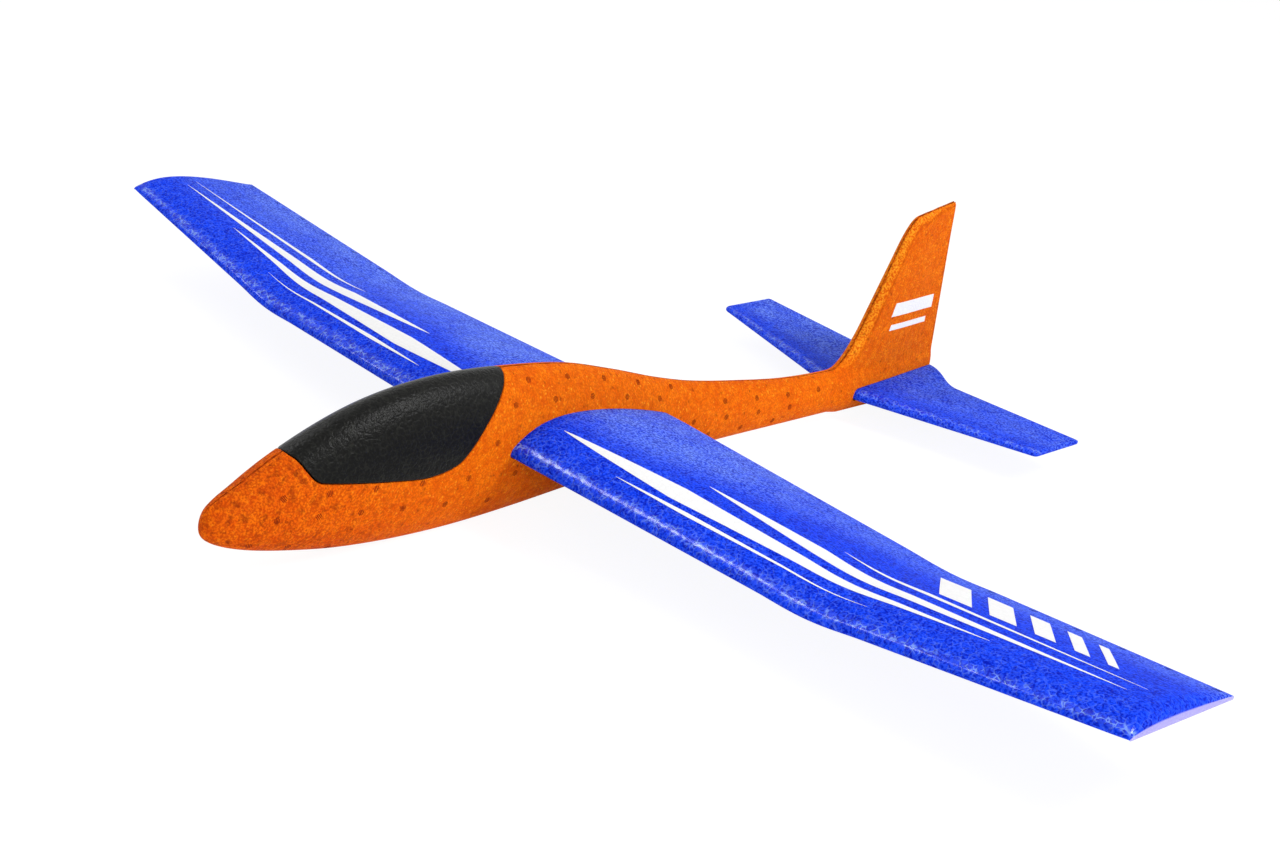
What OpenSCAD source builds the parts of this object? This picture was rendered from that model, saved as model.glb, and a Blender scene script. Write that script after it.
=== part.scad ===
// Moulded-foam hand glider: two glued fuselage halves with the fin, an inlaid
// canopy, two plug-in wing panels on a joiner rod and a slide-in tailplane.
// The nose points to -Y, the left (port) wing to +X, and +Z is up. The origin
// lies under the middle of the glider, on the surface that the belly rests on.
// "Station" means the distance behind the nose tip, "height" the height above
// the belly, and "reach" the distance out from the centre plane.

/* [Fuselage] */
// Nose tip to the rear end of the tail
overall_length = 457; // [440:1:480]
// Height of the fuselage at its crest
cabin_height = 66.4; // [60:0.2:72]
// Width of the fuselage at the cockpit
cabin_width = 32.4; // [30:0.2:40]
// Height of the nose tip
nose_tip_height = 22.2; // [18:0.2:26]
// Station of the crest
crest_station = 116; // [108:1:122]
// Station where the tail boom has reached its full slimness
boom_station = 373; // [360:1:376]
// Height of the tail boom section
boom_height = 21.4; // [19:0.2:24]
// Width of the tail boom
boom_width = 16.4; // [14:0.2:20]
// Height of the underside of the tail boom above the belly
boom_rise = 5.8; // [5:0.2:8]
// Depth by which the rounded belly is flattened
belly_flat = 1.5; // [1:0.1:2]

/* [Fin] */
// Height of the fin tip above the belly
fin_tip_height = 108; // [90:1:120]
// Station where the leading edge of the fin meets the boom
fin_station = 380; // [378:0.5:382]
// Angle of the leading edge of the fin behind the vertical
fin_sweep = 23.1; // [20:0.1:28]
// Distance by which the top of the trailing edge lies ahead of its foot
fin_lean = 9; // [5:0.5:12]
// Thickness of the fin at its foot
fin_thickness = 9; // [7:0.5:11]
// Thickness of the fin at its tip
fin_tip_thickness = 6; // [4:0.5:7]
// Thickness of the trailing edge of the fin
fin_edge_thickness = 3; // [2:0.5:4]

/* [Canopy] */
// Station of the front point of the canopy
canopy_front = 35; // [31:1:38]
// Station of the rear edge of the canopy on the crest
canopy_rear = 142; // [134:1:146]
// Height of the lower edge of the canopy
canopy_sill = 31.4; // [28:0.1:33]
// Rise of the lower edge of the canopy towards the nose
canopy_sill_rise = 5; // [3:0.5:8]

/* [Wing] */
// Wing span from tip to tip
wing_span = 600; // [560:5:640]
// Reach of the bend between the inner and the outer panel
bend_reach = 169; // [150:1:190]
// Station of the leading edge at the root
wing_station = 140.6; // [137:0.2:145]
// Chord at the root
root_chord = 101.4; // [92:0.2:106]
// Chord at the bend
bend_chord = 95; // [88:1:104]
// Chord at the tip
tip_chord = 74.2; // [60:0.2:85]
// Sweep of the leading edge from the root to the bend
bend_sweep = 10.2; // [4:0.2:14]
// Sweep of the leading edge from the root to the tip
tip_sweep = 22.8; // [16:0.2:30]
// Height of the flat underside of the root at the leading edge
wing_height = 30.2; // [29:0.2:34]
// Drop of the leading edge from the root to the bend
bend_drop = 2.9; // [2:0.1:6]
// Rise of the leading edge from the root to the tip
tip_rise = 12; // [6:0.1:20]
// Drop from the leading to the trailing edge at the root
root_pitch = 1.2; // [0.5:0.1:4]
// Drop from the leading to the trailing edge at the tip
tip_pitch = 5.3; // [3:0.1:6]
// Thickness of the wing at the root
root_thickness = 13.4; // [12:0.2:15]
// Thickness of the wing at the tip
tip_thickness = 8.4; // [7:0.2:10]
// Thickness of the trailing edge of the wing
wing_edge_thickness = 1.5; // [1:0.1:2]
// Length of the round-over that closes the wing tip
tip_round = 8.8; // [6:0.1:12]

/* [Tailplane] */
// Span of the tailplane
tail_span = 205; // [180:5:230]
// Station of the leading edge of the tailplane at the fuselage
tail_station = 382.8; // [382:0.2:386]
// Chord of the tailplane at the fuselage, without its rear fairing
tail_chord = 61.2; // [56:0.2:63]
// Sweep of the leading edge of the tailplane to its tip
tail_sweep = 23.8; // [18:0.2:30]
// Rise of the middle of the tailplane tip
tail_rise = 2.8; // [0:0.2:5]
// Thickness of the tailplane at the fuselage
tail_thickness = 6.4; // [5.6:0.2:7]
// Thickness of the tailplane at the tip
tail_tip_thickness = 3.4; // [3:0.2:4.4]
// Thickness of the trailing edge of the tailplane
tail_edge_thickness = 2; // [1.6:0.1:2.6]
// Height of the middle of the tailplane in its slot
tail_height = 14.7; // [14:0.1:15.5]
// Reach of each side of the rear fairing
fairing_reach = 28; // [22:1:32]
// Length of the rear fairing behind the foot of the fin
fairing_overhang = 3.1; // [2:0.1:5]

/* [Fittings] */
// Diameter of the joiner rod that carries both wing panels
joiner_d = 4; // [3:0.5:5]
// Length of the joiner rod
joiner_length = 150; // [120:2:170]
// Distance of the joiner rod behind the leading edge of the root
joiner_setback = 30; // [26:1:36]
// Wall of the plastic sleeve in each wing panel
sleeve_wall = 0.6; // [0.4:0.1:0.9]
// Length of the plastic sleeve in each wing panel
sleeve_length = 75; // [70:1:82]
// Diameter of the stiffener rod in the tail boom
boom_rod_d = 3; // [2:0.5:4]
// Length of the stiffener rod in the tail boom
boom_rod_length = 175; // [140:1:178]
// Diameter of the nose weight
weight_d = 10; // [8:0.5:12]
// Length of the nose weight
weight_length = 25; // [16:1:28]
// Station of the front end of the nose weight
weight_station = 25; // [22:1:30]

/* [Fit] */
// Thickness of the foam web between the two wing sockets
socket_web = 6; // [5:0.5:8]
// Gap between a foam piece and the recess that it fits
seat_gap = 0.3; // [0.2:0.05:0.4]
// Running clearance of a sleeve on the joiner rod, on the radius
run_gap = 0.05; // [0.03:0.01:0.08]

/* [Hidden] */
eps = 0.01;

// Shape of the fuselage, as shares of the length and height of each stretch. The
// nose runs over the square root of the station, which makes its tip round.
nose_crown = [[0, 0], [0.13, 0.16], [0.25, 0.25], [0.375, 0.355], [0.53, 0.555], [0.75, 0.85],
              [0.875, 0.96], [1, 1], [1.125, 0.96]];
nose_keel = [[0, 0], [0.11, 0.17], [0.21, 0.29], [0.36, 0.46], [0.57, 0.69], [0.73, 0.865],
             [0.87, 0.965], [1, 1], [1.13, 0.965]];
nose_side = [[0, 0], [0.19, 0.32], [0.32, 0.515], [0.44, 0.69], [0.63, 0.88], [0.85, 0.985],
             [1, 1], [1.15, 0.985]];
rear_crown = [[-0.1, 0.03], [0, 0], [0.1, 0.03], [0.25, 0.14], [0.375, 0.345], [0.485, 0.555],
              [0.585, 0.71], [0.72, 0.85], [0.855, 0.96], [1, 1], [1.145, 0.96]];
rear_keel = [[-0.2, 0.18], [0, 0], [0.2, 0.18], [0.4, 0.5], [0.6, 0.8], [0.75, 0.93], [1, 1],
             [1.25, 0.93]];
rear_side = [[-0.1, 0.02], [0, 0], [0.1, 0.02], [0.25, 0.23], [0.375, 0.49], [0.485, 0.78],
             [0.6, 0.92], [0.76, 0.985], [1, 1], [1.2, 1]];
waist = 0.47;
fullness_above = 1.95;
fullness_below = 2.2;
keel_full_share = 0.72;
keel_sweep_start = 20;
blend_radius = 6;
fin_corner = 13;
fin_round = 5;
fin_edge_round = 1.4;
fin_edge_from_share = 0.75;
fin_edge_over_share = 0.2;
fin_base_reach = 1.6;
fin_tip_slope = 0.185;
fin_grow_ahead = 10;
fin_grow_run = 12;
fin_lead_in = 8;
fin_edge_lead = 3;
keel_web = 2;
slope_step = 0.5;

// Edge of the canopy: [distance behind its front, height above the front end of the sill],
// then [distance ahead of its rear, height above the rear end of the sill]
canopy_nose_edge = [[2.3, 9.6], [5.4, 5.1], [8.8, 1.6], [15, 0]];
canopy_rear_edge = [[62, 0.8], [45, -0.8], [32, 1.3], [24.6, 6.2], [14, 17.6], [5.5, 26.8]];
canopy_run_in = [3, 6];
canopy_run_out = [2, 6];
canopy_margin = 9;

// Wing section: a flat underside, a rounded lip at the front and a crowned top
foil_lip = 0.16;
foil_lip_run = 0.035;
bend_blend = 24;
root_straight = 20;
tip_closed_share = 0.14;

// Rounding of the outer corners of the wing and of the tailplane, seen from above
wing_corner = 0.8;
tail_corner = 2.2;
tail_root_step = 1;
slot_overrun = 5;

// Heights of the two rods, as shares of the wing root and of the boom
joiner_share = 0.36;
boom_rod_share = 0.56;
boom_rod_inset = 2;

// Number of points round each half of a section
side_points = 15;
foil_points = 14;
tail_points = 11;

// Places that follow from the sizes above
middle = overall_length / 2;
fin_foot = overall_length - fairing_overhang;
slot_top = tail_height + tail_thickness / 2 + seat_gap;
slot_bottom = tail_height - tail_thickness / 2 - seat_gap;
crown_line = boom_rise + boom_height;
sleeve_d = joiner_d + 2 * run_gap + 2 * sleeve_wall;
socket_floor = socket_web / 2;
panel_root = socket_floor + seat_gap;
joiner_station = wing_station + joiner_setback;
joiner_height = wing_height + root_thickness * joiner_share;
weight_height = nose_tip_height;
boom_rod_station = boom_station - boom_rod_inset - boom_rod_length;
boom_rod_height = boom_rise + boom_height * boom_rod_share;
tail_root_reach = boom_width / 2 + tail_root_step;
slot_end = overall_length + slot_overrun;

// ---- Curves ---------------------------------------------------------------

function lerp(a, b, t) = a + (b - a) * t;
function clamp(v, low, high) = min(max(v, low), high);
function ease(t) = let (u = clamp(t, 0, 1)) u * u * (3 - 2 * u);
function soft_max(a, b, r) = max(a, b) + pow(max(r - abs(a - b), 0), 2) / (4 * r);
function soft_min(a, b, r) = -soft_max(-a, -b, r);

// Height of a smooth curve through the points [x, y] of a list
function span_at(list, x, i = 0) =
    (i >= len(list) - 2 || x < list[i + 1][0]) ? i : span_at(list, x, i + 1);
function slope_at(list, i) =
    let (a = max(i - 1, 0), b = min(i + 1, len(list) - 1))
    (list[b][1] - list[a][1]) / (list[b][0] - list[a][0]);
function curve(list, x) =
    let (i = span_at(list, x), p = list[i], q = list[i + 1], run = q[0] - p[0])
    let (t = clamp((x - p[0]) / run, 0, 1), t2 = t * t, t3 = t2 * t)
    p[1] * (2 * t3 - 3 * t2 + 1) + q[1] * (3 * t2 - 2 * t3)
    + run * (slope_at(list, i) * (t3 - 2 * t2 + t) + slope_at(list, i + 1) * (t3 - t2));

// One closed polyhedron through a row of rings, each a closed loop of points
module skin(rings) {
    count = len(rings[0]);
    last = len(rings) - 1;
    sides = [for (r = [0:last - 1], i = [0:count - 1])
        let (a = r * count + i, b = r * count + (i + 1) % count)
        each [[a, b, b + count], [a, b + count, a + count]]];
    front = [for (i = [count - 1:-1:0]) i];
    back = [for (i = [0:count - 1]) last * count + i];
    polyhedron(points = [for (ring = rings) each ring], faces = concat([front], sides, [back]));
}

// ---- Fuselage -------------------------------------------------------------

function nose_share(s) = sqrt(clamp(s / crest_station, 0, 1));
function rear_share(s) = clamp((s - crest_station) / (boom_station - crest_station), 0, 1);

function crown(s) = s < crest_station
    ? lerp(nose_tip_height, cabin_height, curve(nose_crown, nose_share(s)))
    : lerp(cabin_height, crown_line, curve(rear_crown, rear_share(s)));
function keel(s) =
    let (dip = -belly_flat, aft = rear_share(s) / keel_full_share)
    let (sweep_from = tail_station + keel_sweep_start)
    let (end = clamp((s - sweep_from) / (fin_foot - sweep_from), 0, 1))
    s < crest_station ? lerp(nose_tip_height, dip, curve(nose_keel, nose_share(s)))
    : lerp(lerp(dip, boom_rise, curve(rear_keel, clamp(aft, 0, 1))), slot_bottom + keel_web,
           end * end);
function half_side(s) =
    let (taper = clamp((s - tail_station) / (fin_foot - tail_station), 0, 1))
    s < crest_station ? cabin_width / 2 * curve(nose_side, nose_share(s))
    : lerp(lerp(cabin_width, boom_width, curve(rear_side, rear_share(s))) / 2, fin_base_reach,
           taper);

// The top line follows the crown, climbs the fin, runs along its tip and drops
// down its trailing edge
function fin_front(s) = crown_line + (s - fin_station) / tan(fin_sweep);
function fin_top(s) = fin_tip_height - (fin_foot - fin_lean - s) * fin_tip_slope;
function fin_rear(s) = slot_top + (fin_foot - s) * (fin_tip_height - slot_top) / fin_lean;
function top_line(s) =
    let (rise = soft_max(crown(s), fin_front(s), blend_radius))
    s < fin_station - 2 * blend_radius ? crown(s)
    : soft_min(soft_min(rise, fin_top(s), fin_corner), fin_rear(s), blend_radius);

// Half width of the fuselage and of the fin at a station and a height
function body_half(s, z) =
    let (low = keel(s), high = crown(s), mid = lerp(low, high, waist))
    let (u = z < mid ? (mid - z) / (mid - low) : (z - mid) / (high - mid))
    let (fullness = z < mid ? fullness_below : fullness_above)
    u >= 1 ? 0 : half_side(s) * pow(1 - pow(u, fullness), 1 / fullness);
function fin_half(s, z) =
    let (slope = (top_line(s + slope_step) - top_line(s - slope_step)) / (2 * slope_step))
    let (inset = max(top_line(s) - z, 0) / sqrt(1 + slope * slope))
    let (up = clamp((z - crown_line) / (fin_tip_height - crown_line), 0, 1))
    let (front = fin_station + up * (fin_tip_height - crown_line) * tan(fin_sweep))
    let (rear = fin_foot - up * fin_lean, chord = clamp((s - front) / (rear - front), 0, 1))
    let (body = lerp(fin_thickness, fin_tip_thickness, up))
    let (thick = lerp(body, fin_edge_thickness, ease((chord - 0.25) / 0.75)))
    let (blunt = ease((chord - fin_edge_from_share) / fin_edge_over_share))
    let (edge = clamp(inset / lerp(fin_round, fin_edge_round, blunt), 0, 1))
    let (grown = ease((s - fin_station + fin_grow_ahead) / fin_grow_run))
    grown * thick / 2 * sqrt(1 - pow(1 - edge, 2));
function side_at(s, z) =
    let (body = body_half(s, z), fin = fin_half(s, z))
    fin <= 0 ? body : body <= 0 ? fin : pow(pow(body, 4) + pow(fin, 4), 1 / 4);

// One half of the section at a station, from the keel up to the top line
function half_section(s) =
    let (low = keel(s), high = top_line(s))
    [for (i = [0:side_points])
        let (z = lerp(low, high, (1 - cos(180 * i / side_points)) / 2))
        [(i == 0 || i == side_points) ? 0 : max(side_at(s, z), eps), s - middle, max(z, 0)]];

fin_start = fin_station - fin_lead_in;
fin_end = fin_foot - fin_lean - fin_edge_lead;
first_station = 0.05;
nose_stations = [for (i = [1:12]) crest_station * pow(i / 12, 2)];
rear_stations = [for (i = [1:17]) lerp(crest_station, fin_start, i / 17)];
fin_stations = [for (i = [1:24]) lerp(fin_start, fin_end, i / 24)];
edge_stations = [for (i = [1:10]) lerp(fin_end, fin_foot, i / 10)];
stations = concat([first_station], nose_stations, rear_stations, fin_stations, edge_stations);

module half_body() {
    skin([for (s = stations) half_section(s)]);
}

module whole_body() {
    half_body();
    mirror([1, 0, 0]) half_body();
}

// ---- Canopy ---------------------------------------------------------------

// Side outline of the canopy, grown outwards by a gap
function canopy_outline(gap) =
    let (front = canopy_front - gap, rear = canopy_rear + gap, sill = canopy_sill - gap)
    let (top = cabin_height + canopy_margin)
    let (ahead = [front - canopy_run_in[0], crown(front) + canopy_run_in[1]])
    let (behind = [rear + canopy_run_out[0], crown(rear) + canopy_run_out[1]])
    let (path = concat([ahead, [front, crown(front)]],
                       [for (p = canopy_nose_edge) [front + p[0], sill + canopy_sill_rise + p[1]]],
                       [for (p = canopy_rear_edge) [rear - p[0], sill + p[1]]],
                       [[rear, crown(rear)], behind]))
    let (dense = [for (i = [1:len(path) - 3], t = [0:0.25:0.75]) spline(path, i, t)])
    concat(dense, [path[len(path) - 2], [rear, top], [front, top]]);
function spline(p, i, t) =
    let (t2 = t * t, t3 = t2 * t)
    0.5 * ((2 * p[i]) + (p[i + 1] - p[i - 1]) * t
           + (2 * p[i - 1] - 5 * p[i] + 4 * p[i + 1] - p[i + 2]) * t2
           + (3 * p[i] - p[i - 1] - 3 * p[i + 1] + p[i + 2]) * t3);

// Extrude an outline of [station, height] points across the glider
module across(outline, from, to) {
    translate([from, -middle, 0]) rotate([90, 0, 90]) linear_extrude(to - from) polygon(outline);
}

module canopy() {
    color("dimgray") intersection() {
        whole_body();
        across(canopy_outline(0), -cabin_width, cabin_width);
    }
}

// ---- Wing -----------------------------------------------------------------

function foil_crown(u) =
    10 * (0.2969 * sqrt(u) - 0.126 * u - 0.3516 * u * u + 0.2843 * pow(u, 3) - 0.1036 * pow(u, 4));
function foil_top(u, thick, edge) =
    thick * foil_crown(u) * (1 - 0.2 * pow(1 - u, 12)) + foil_lip * thick * pow(1 - u, 30)
    + edge * u;
function foil_bottom(u, thick) =
    u >= foil_lip_run ? 0 : foil_lip * thick * (1 - sqrt(1 - pow(1 - u / foil_lip_run, 2)));

// Section outline as [station, height] points: back along the top, on along the bottom
function foil(le, chord, height, pitch, thick, edge) =
    let (row = [for (i = [0:foil_points]) (1 - cos(180 * i / foil_points)) / 2])
    concat([for (i = [foil_points:-1:0]) let (u = row[i])
                [le + chord * u, height - pitch * u + foil_top(u, thick, edge)]],
           [for (i = [1:foil_points]) let (u = row[i])
                [le + chord * u, height - pitch * u + foil_bottom(u, thick)]]);

// A size along the span: level to the root, straight to the bend, straight to the tip
function along(root, bend, tip, x) =
    let (half = wing_span / 2, inner = max(x - root_straight, 0) / (bend_reach - root_straight))
    let (outer = (x - bend_reach) / (half - bend_reach))
    lerp(lerp(root, bend, inner), lerp(bend, tip, outer),
         ease((x - bend_reach + bend_blend) / (2 * bend_blend)));

function bend_share() = (bend_reach - root_straight) / (wing_span / 2 - root_straight);
function wing_section(x) =
    let (half = wing_span / 2, into = clamp((x - half + tip_round) / tip_round, 0, 1))
    let (close = lerp(tip_closed_share, 1, pow(1 - pow(into, 3), 1 / 3)))
    let (corner = wing_corner * (1 - sqrt(1 - into * into)))
    let (thick = along(root_thickness, lerp(root_thickness, tip_thickness, bend_share() * 0.8),
                       tip_thickness, x) * close)
    let (chord = along(root_chord, bend_chord, tip_chord, x))
    foil(wing_station + along(0, bend_sweep, tip_sweep, x) + corner, chord - corner,
         wing_height + along(0, -bend_drop, tip_rise, x),
         along(root_pitch, lerp(root_pitch, tip_pitch, 0.8), tip_pitch, x), thick,
         wing_edge_thickness);

module wing_panel() {
    half = wing_span / 2;
    reaches = concat([panel_root, root_straight, (root_straight + bend_reach) / 2],
                     [for (i = [-3:3]) bend_reach + bend_blend * i / 3],
                     [(bend_reach + half) / 2, half - tip_round],
                     [for (a = [30, 50, 65, 78, 90]) half - tip_round * (1 - sin(a))]);
    difference() {
        skin([for (x = reaches) [for (p = wing_section(x)) [x, p[0] - middle, p[1]]]]);
        translate([0, joiner_station - middle, joiner_height])
            rotate([0, 90, 0]) cylinder(d = sleeve_d, h = panel_root + sleeve_length, $fn = 32);
    }
}

// Socket in the side of the fuselage for the root of a wing panel
module wing_socket() {
    across(foil(wing_station - seat_gap, root_chord + 2 * seat_gap, wing_height - seat_gap,
                root_pitch, root_thickness + seat_gap, wing_edge_thickness + seat_gap),
           socket_floor, cabin_width);
}

module spar_sleeve() {
    translate([panel_root, joiner_station - middle, joiner_height]) rotate([0, 90, 0])
        difference() {
            cylinder(d = sleeve_d, h = sleeve_length, $fn = 32);
            translate([0, 0, -eps]) cylinder(d = joiner_d + 2 * run_gap, h = sleeve_length + 2 * eps,
                                             $fn = 32);
        }
}

module wing_left() {
    color("royalblue") wing_panel();
}

module wing_right() {
    color("royalblue") mirror([1, 0, 0]) wing_panel();
}

module spar_sleeve_left() {
    color("white") spar_sleeve();
}

module spar_sleeve_right() {
    color("white") mirror([1, 0, 0]) spar_sleeve();
}

// ---- Rods and weight ------------------------------------------------------

module wing_joiner() {
    color("darkslategray") translate([-joiner_length / 2, joiner_station - middle, joiner_height])
        rotate([0, 90, 0]) cylinder(d = joiner_d, h = joiner_length, $fn = 32);
}

module boom_rod() {
    color("khaki") translate([0, boom_rod_station - middle, boom_rod_height])
        rotate([-90, 0, 0]) cylinder(d = boom_rod_d, h = boom_rod_length, $fn = 32);
}

module nose_weight() {
    color("silver") translate([0, weight_station - middle, weight_height])
        rotate([-90, 0, 0]) cylinder(d = weight_d, h = weight_length, $fn = 32);
}

// ---- Tailplane ------------------------------------------------------------

// Share of the way from the fuselage to the tip of the tailplane
function tail_share(x) =
    clamp((abs(x) - tail_root_reach) / (tail_span / 2 - tail_root_reach), 0, 1);
function fairing_share(x) =
    (1 + cos(180 * clamp(abs(x) / fairing_reach, 0, 1))) / 2;

function tail_section(x) =
    let (share = tail_share(x), half = tail_span / 2)
    let (into = clamp((abs(x) - half + tail_corner) / tail_corner, 0, 1))
    let (close = sqrt(1 - into * into), corner = tail_corner * (1 - close))
    let (front = tail_station + tail_sweep * share + corner)
    let (end = tail_station + tail_chord, rear = lerp(end, overall_length, fairing_share(x)))
    let (hub = ease((fairing_reach - abs(x)) / (fairing_reach - tail_root_reach)))
    let (thick = lerp(tail_thickness, tail_tip_thickness, share) / 2 * lerp(0.3, 1, close))
    let (edge = lerp(min(tail_edge_thickness / 2, thick), thick, hub))
    let (mid = tail_height + tail_rise * share, chord = rear - corner / 2 - front)
    let (row = [for (i = [0:tail_points]) (1 - cos(180 * i / tail_points)) / 2])
    let (deep = [for (u = row) let (d = u * chord, e = (1 - u) * chord)
        lerp(thick, edge, pow(u, 1.5)) * sqrt(1 - pow(1 - clamp(d / (thick * 1.8), 0, 1), 2))
        * (0.25 + 0.75 * sqrt(1 - pow(1 - clamp(e / (edge * 1.2), 0, 1), 2)))])
    concat([for (i = [tail_points:-1:0]) [x, front + row[i] * chord - middle, mid + deep[i]]],
           [for (i = [1:tail_points]) [x, front + row[i] * chord - middle, mid - deep[i]]]);

module tailplane() {
    half = tail_span / 2;
    side = concat([0, tail_root_reach],
                  [for (i = [1:4]) lerp(tail_root_reach, fairing_reach, i / 4)],
                  [(fairing_reach + half) / 2, half - tail_corner],
                  [for (a = [30, 55, 90]) half - tail_corner * (1 - sin(a))]);
    reaches = concat([for (i = [len(side) - 1:-1:1]) -side[i]], side);
    color("royalblue") skin([for (x = reaches) tail_section(x)]);
}

// Slot that the tailplane slides into from behind
module tail_slot() {
    nose_r = (slot_top - slot_bottom) / 2;
    front = tail_station - seat_gap;
    across([[front + nose_r, slot_bottom], [slot_end, slot_bottom], [slot_end, slot_top],
            [front + nose_r, slot_top]], -eps, boom_width);
    translate([-eps, front + nose_r - middle, tail_height]) rotate([0, 90, 0])
        cylinder(r = nose_r, h = boom_width, $fn = 32);
}

// ---- Fuselage halves ------------------------------------------------------

module fuselage_half() {
    difference() {
        half_body();
        across(canopy_outline(seat_gap), -eps, cabin_width);
        wing_socket();
        tail_slot();
        translate([-eps, joiner_station - middle, joiner_height]) rotate([0, 90, 0])
            cylinder(d = joiner_d, h = cabin_width, $fn = 32);
        translate([0, boom_rod_station - middle, boom_rod_height]) rotate([-90, 0, 0])
            cylinder(d = boom_rod_d, h = boom_rod_length, $fn = 32);
        translate([0, weight_station - middle, weight_height]) rotate([-90, 0, 0])
            cylinder(d = weight_d, h = weight_length, $fn = 32);
    }
}

module fuselage_left_half() {
    color("darkorange") fuselage_half();
}

module fuselage_right_half() {
    color("darkorange") mirror([1, 0, 0]) fuselage_half();
}

fuselage_left_half();
fuselage_right_half();
canopy();
nose_weight();
boom_rod();
wing_joiner();
wing_left();
wing_right();
spar_sleeve_left();
spar_sleeve_right();
tailplane();
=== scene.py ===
import math

import bmesh
import bpy
import numpy as np
from bpy.props import FloatProperty, FloatVectorProperty, PointerProperty
from bpy.types import Operator, Panel, PropertyGroup
from mathutils import Matrix, Vector, noise
from mathutils.bvhtree import BVHTree


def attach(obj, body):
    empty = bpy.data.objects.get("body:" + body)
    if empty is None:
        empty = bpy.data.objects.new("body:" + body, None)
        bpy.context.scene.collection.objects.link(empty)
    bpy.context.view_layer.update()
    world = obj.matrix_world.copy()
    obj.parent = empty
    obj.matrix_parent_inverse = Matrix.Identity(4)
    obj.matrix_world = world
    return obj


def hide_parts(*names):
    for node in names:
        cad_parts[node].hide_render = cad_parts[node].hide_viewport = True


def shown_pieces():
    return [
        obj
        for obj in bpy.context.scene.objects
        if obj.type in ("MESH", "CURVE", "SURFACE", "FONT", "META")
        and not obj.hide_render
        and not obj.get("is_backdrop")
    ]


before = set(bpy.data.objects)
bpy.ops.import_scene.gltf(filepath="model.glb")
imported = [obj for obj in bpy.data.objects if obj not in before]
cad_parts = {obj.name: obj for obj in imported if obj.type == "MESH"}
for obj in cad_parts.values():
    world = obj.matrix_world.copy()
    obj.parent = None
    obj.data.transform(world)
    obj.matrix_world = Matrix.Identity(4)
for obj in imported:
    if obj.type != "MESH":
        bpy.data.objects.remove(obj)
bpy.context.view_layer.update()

bl_info = {
    "name": "Foam Hand Glider",
    "version": (1, 0, 0),
    "blender": (4, 5, 0),
    "location": "3D View > Sidebar > Glider",
    "description": "Moulded-foam hand glider, dressed around its packed frame",
    "category": "Object",
}

MM = 0.001

# Places in the photograph that the camera and the small details are set by
PHOTO_SIZE = (1280, 854)
POINTS = {
    "left_x": 134,
    "right_x": 1237,
    "bottom_y": 741,
    "nose_tip": (200, 527),
    "near_tip_front": (1132, 741),
    "near_tip_rear": (1237, 696),
    "far_tip_front": (134, 191),
    "canopy_front": (279, 447),
    "canopy_rear": (499, 367),
    "fin_top": (952, 202),
    "near_tail_tip": (1076, 441),
    "far_tail_tip": (723, 309),
    "upper_vents_front": (284, 499),
    "upper_vents_rear": (515, 473),
    "lower_vents_front": (277, 521),
    "lower_vents_rear": (487, 500),
    "cheek_vent": (498, 443),
    "belly_vents_front": (249, 546),
    "belly_vents_rear": (327, 547),
    "edge_vents_rear": (1217, 690),
}

# ---- Shape of the glider, as in the part's source ------------------------------
# Sizes are in millimetres. A station is a distance behind the nose tip, a height
# is above the belly, and a reach is the distance out from the centre plane.

LENGTH, CABIN_HEIGHT, CABIN_WIDTH, NOSE_TIP = 457, 66.4, 32.4, 22.2
CREST, BOOM_START, BOOM_HEIGHT, BOOM_WIDTH, BOOM_RISE = 116, 373, 21.4, 16.4, 5.8
BELLY_FLAT, KEEL_FULL, KEEL_SWEEP, KEEL_WEB, WAIST = 1.5, 0.72, 20, 2, 0.47
FULL_ABOVE, FULL_BELOW = 1.95, 2.2
FIN_TIP, FIN_START, FIN_SWEEP, FIN_LEAN = 108, 380, math.radians(23.1), 9
FIN_THICK, FIN_TIP_THICK, FIN_EDGE = 9, 6, 3
FIN_ROUND, FIN_EDGE_ROUND, FIN_CORNER = 5, 1.4, 13
FIN_BASE, FIN_TOP_SLOPE, FILLET, FOOT_FILLET = 1.6, 0.185, 6, 24
# from its start, where the fin rises out of the boom; chord shares where it thins and
# where its edge turns from round to blunt
FIN_SHOWS, FIN_THINS, FIN_BLUNTS = (-17, -3), (0.25, 1), (0.75, 0.95)
CANOPY_FRONT, CANOPY_REAR, SILL, SILL_RISE = 35, 142, 31.4, 5
CANOPY_NOSE_EDGE = [(2.3, 9.6), (5.4, 5.1), (8.8, 1.6), (15, 0)]
CANOPY_REAR_EDGE = [(62, 0.8), (45, -0.8), (32, 1.3), (24.6, 6.2), (14, 17.6), (5.5, 26.8)]
SPAN, BEND, BEND_BLEND, ROOT_STRAIGHT, WING_START = 600, 169, 24, 20, 140.6
CHORDS, SWEEPS, RISES = (101.4, 95, 74.2), (0, 10.2, 22.8), (0, -2.9, 12)
WING_HEIGHT, ROOT_PITCH, TIP_PITCH = 30.2, 1.2, 5.3
ROOT_THICK, TIP_THICK, WING_EDGE, BEND_TWIST = 13.4, 8.4, 1.5, 0.8
TIP_ROUND, TIP_CLOSED, WING_CORNER, LIP, LIP_RUN = 8.8, 0.14, 0.8, 0.16, 0.035
TAIL_SPAN, TAIL_START, TAIL_CHORD, TAIL_SWEEP, TAIL_RISE = 205, 382.8, 61.2, 23.8, 2.8
TAIL_THICK, TAIL_TIP_THICK, TAIL_EDGE, TAIL_HEIGHT = 6.4, 3.4, 2, 14.7
FAIRING_REACH, FAIRING_HANG, TAIL_CORNER = 28, 3.1, 2.2
JOINER_D, JOINER_SETBACK, JOINER_SHARE = 4, 30, 0.36
SLEEVE_WALL, SLEEVE_LENGTH, SOCKET_WEB, SEAT_GAP, RUN_GAP = 0.6, 75, 6, 0.3, 0.05

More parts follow.
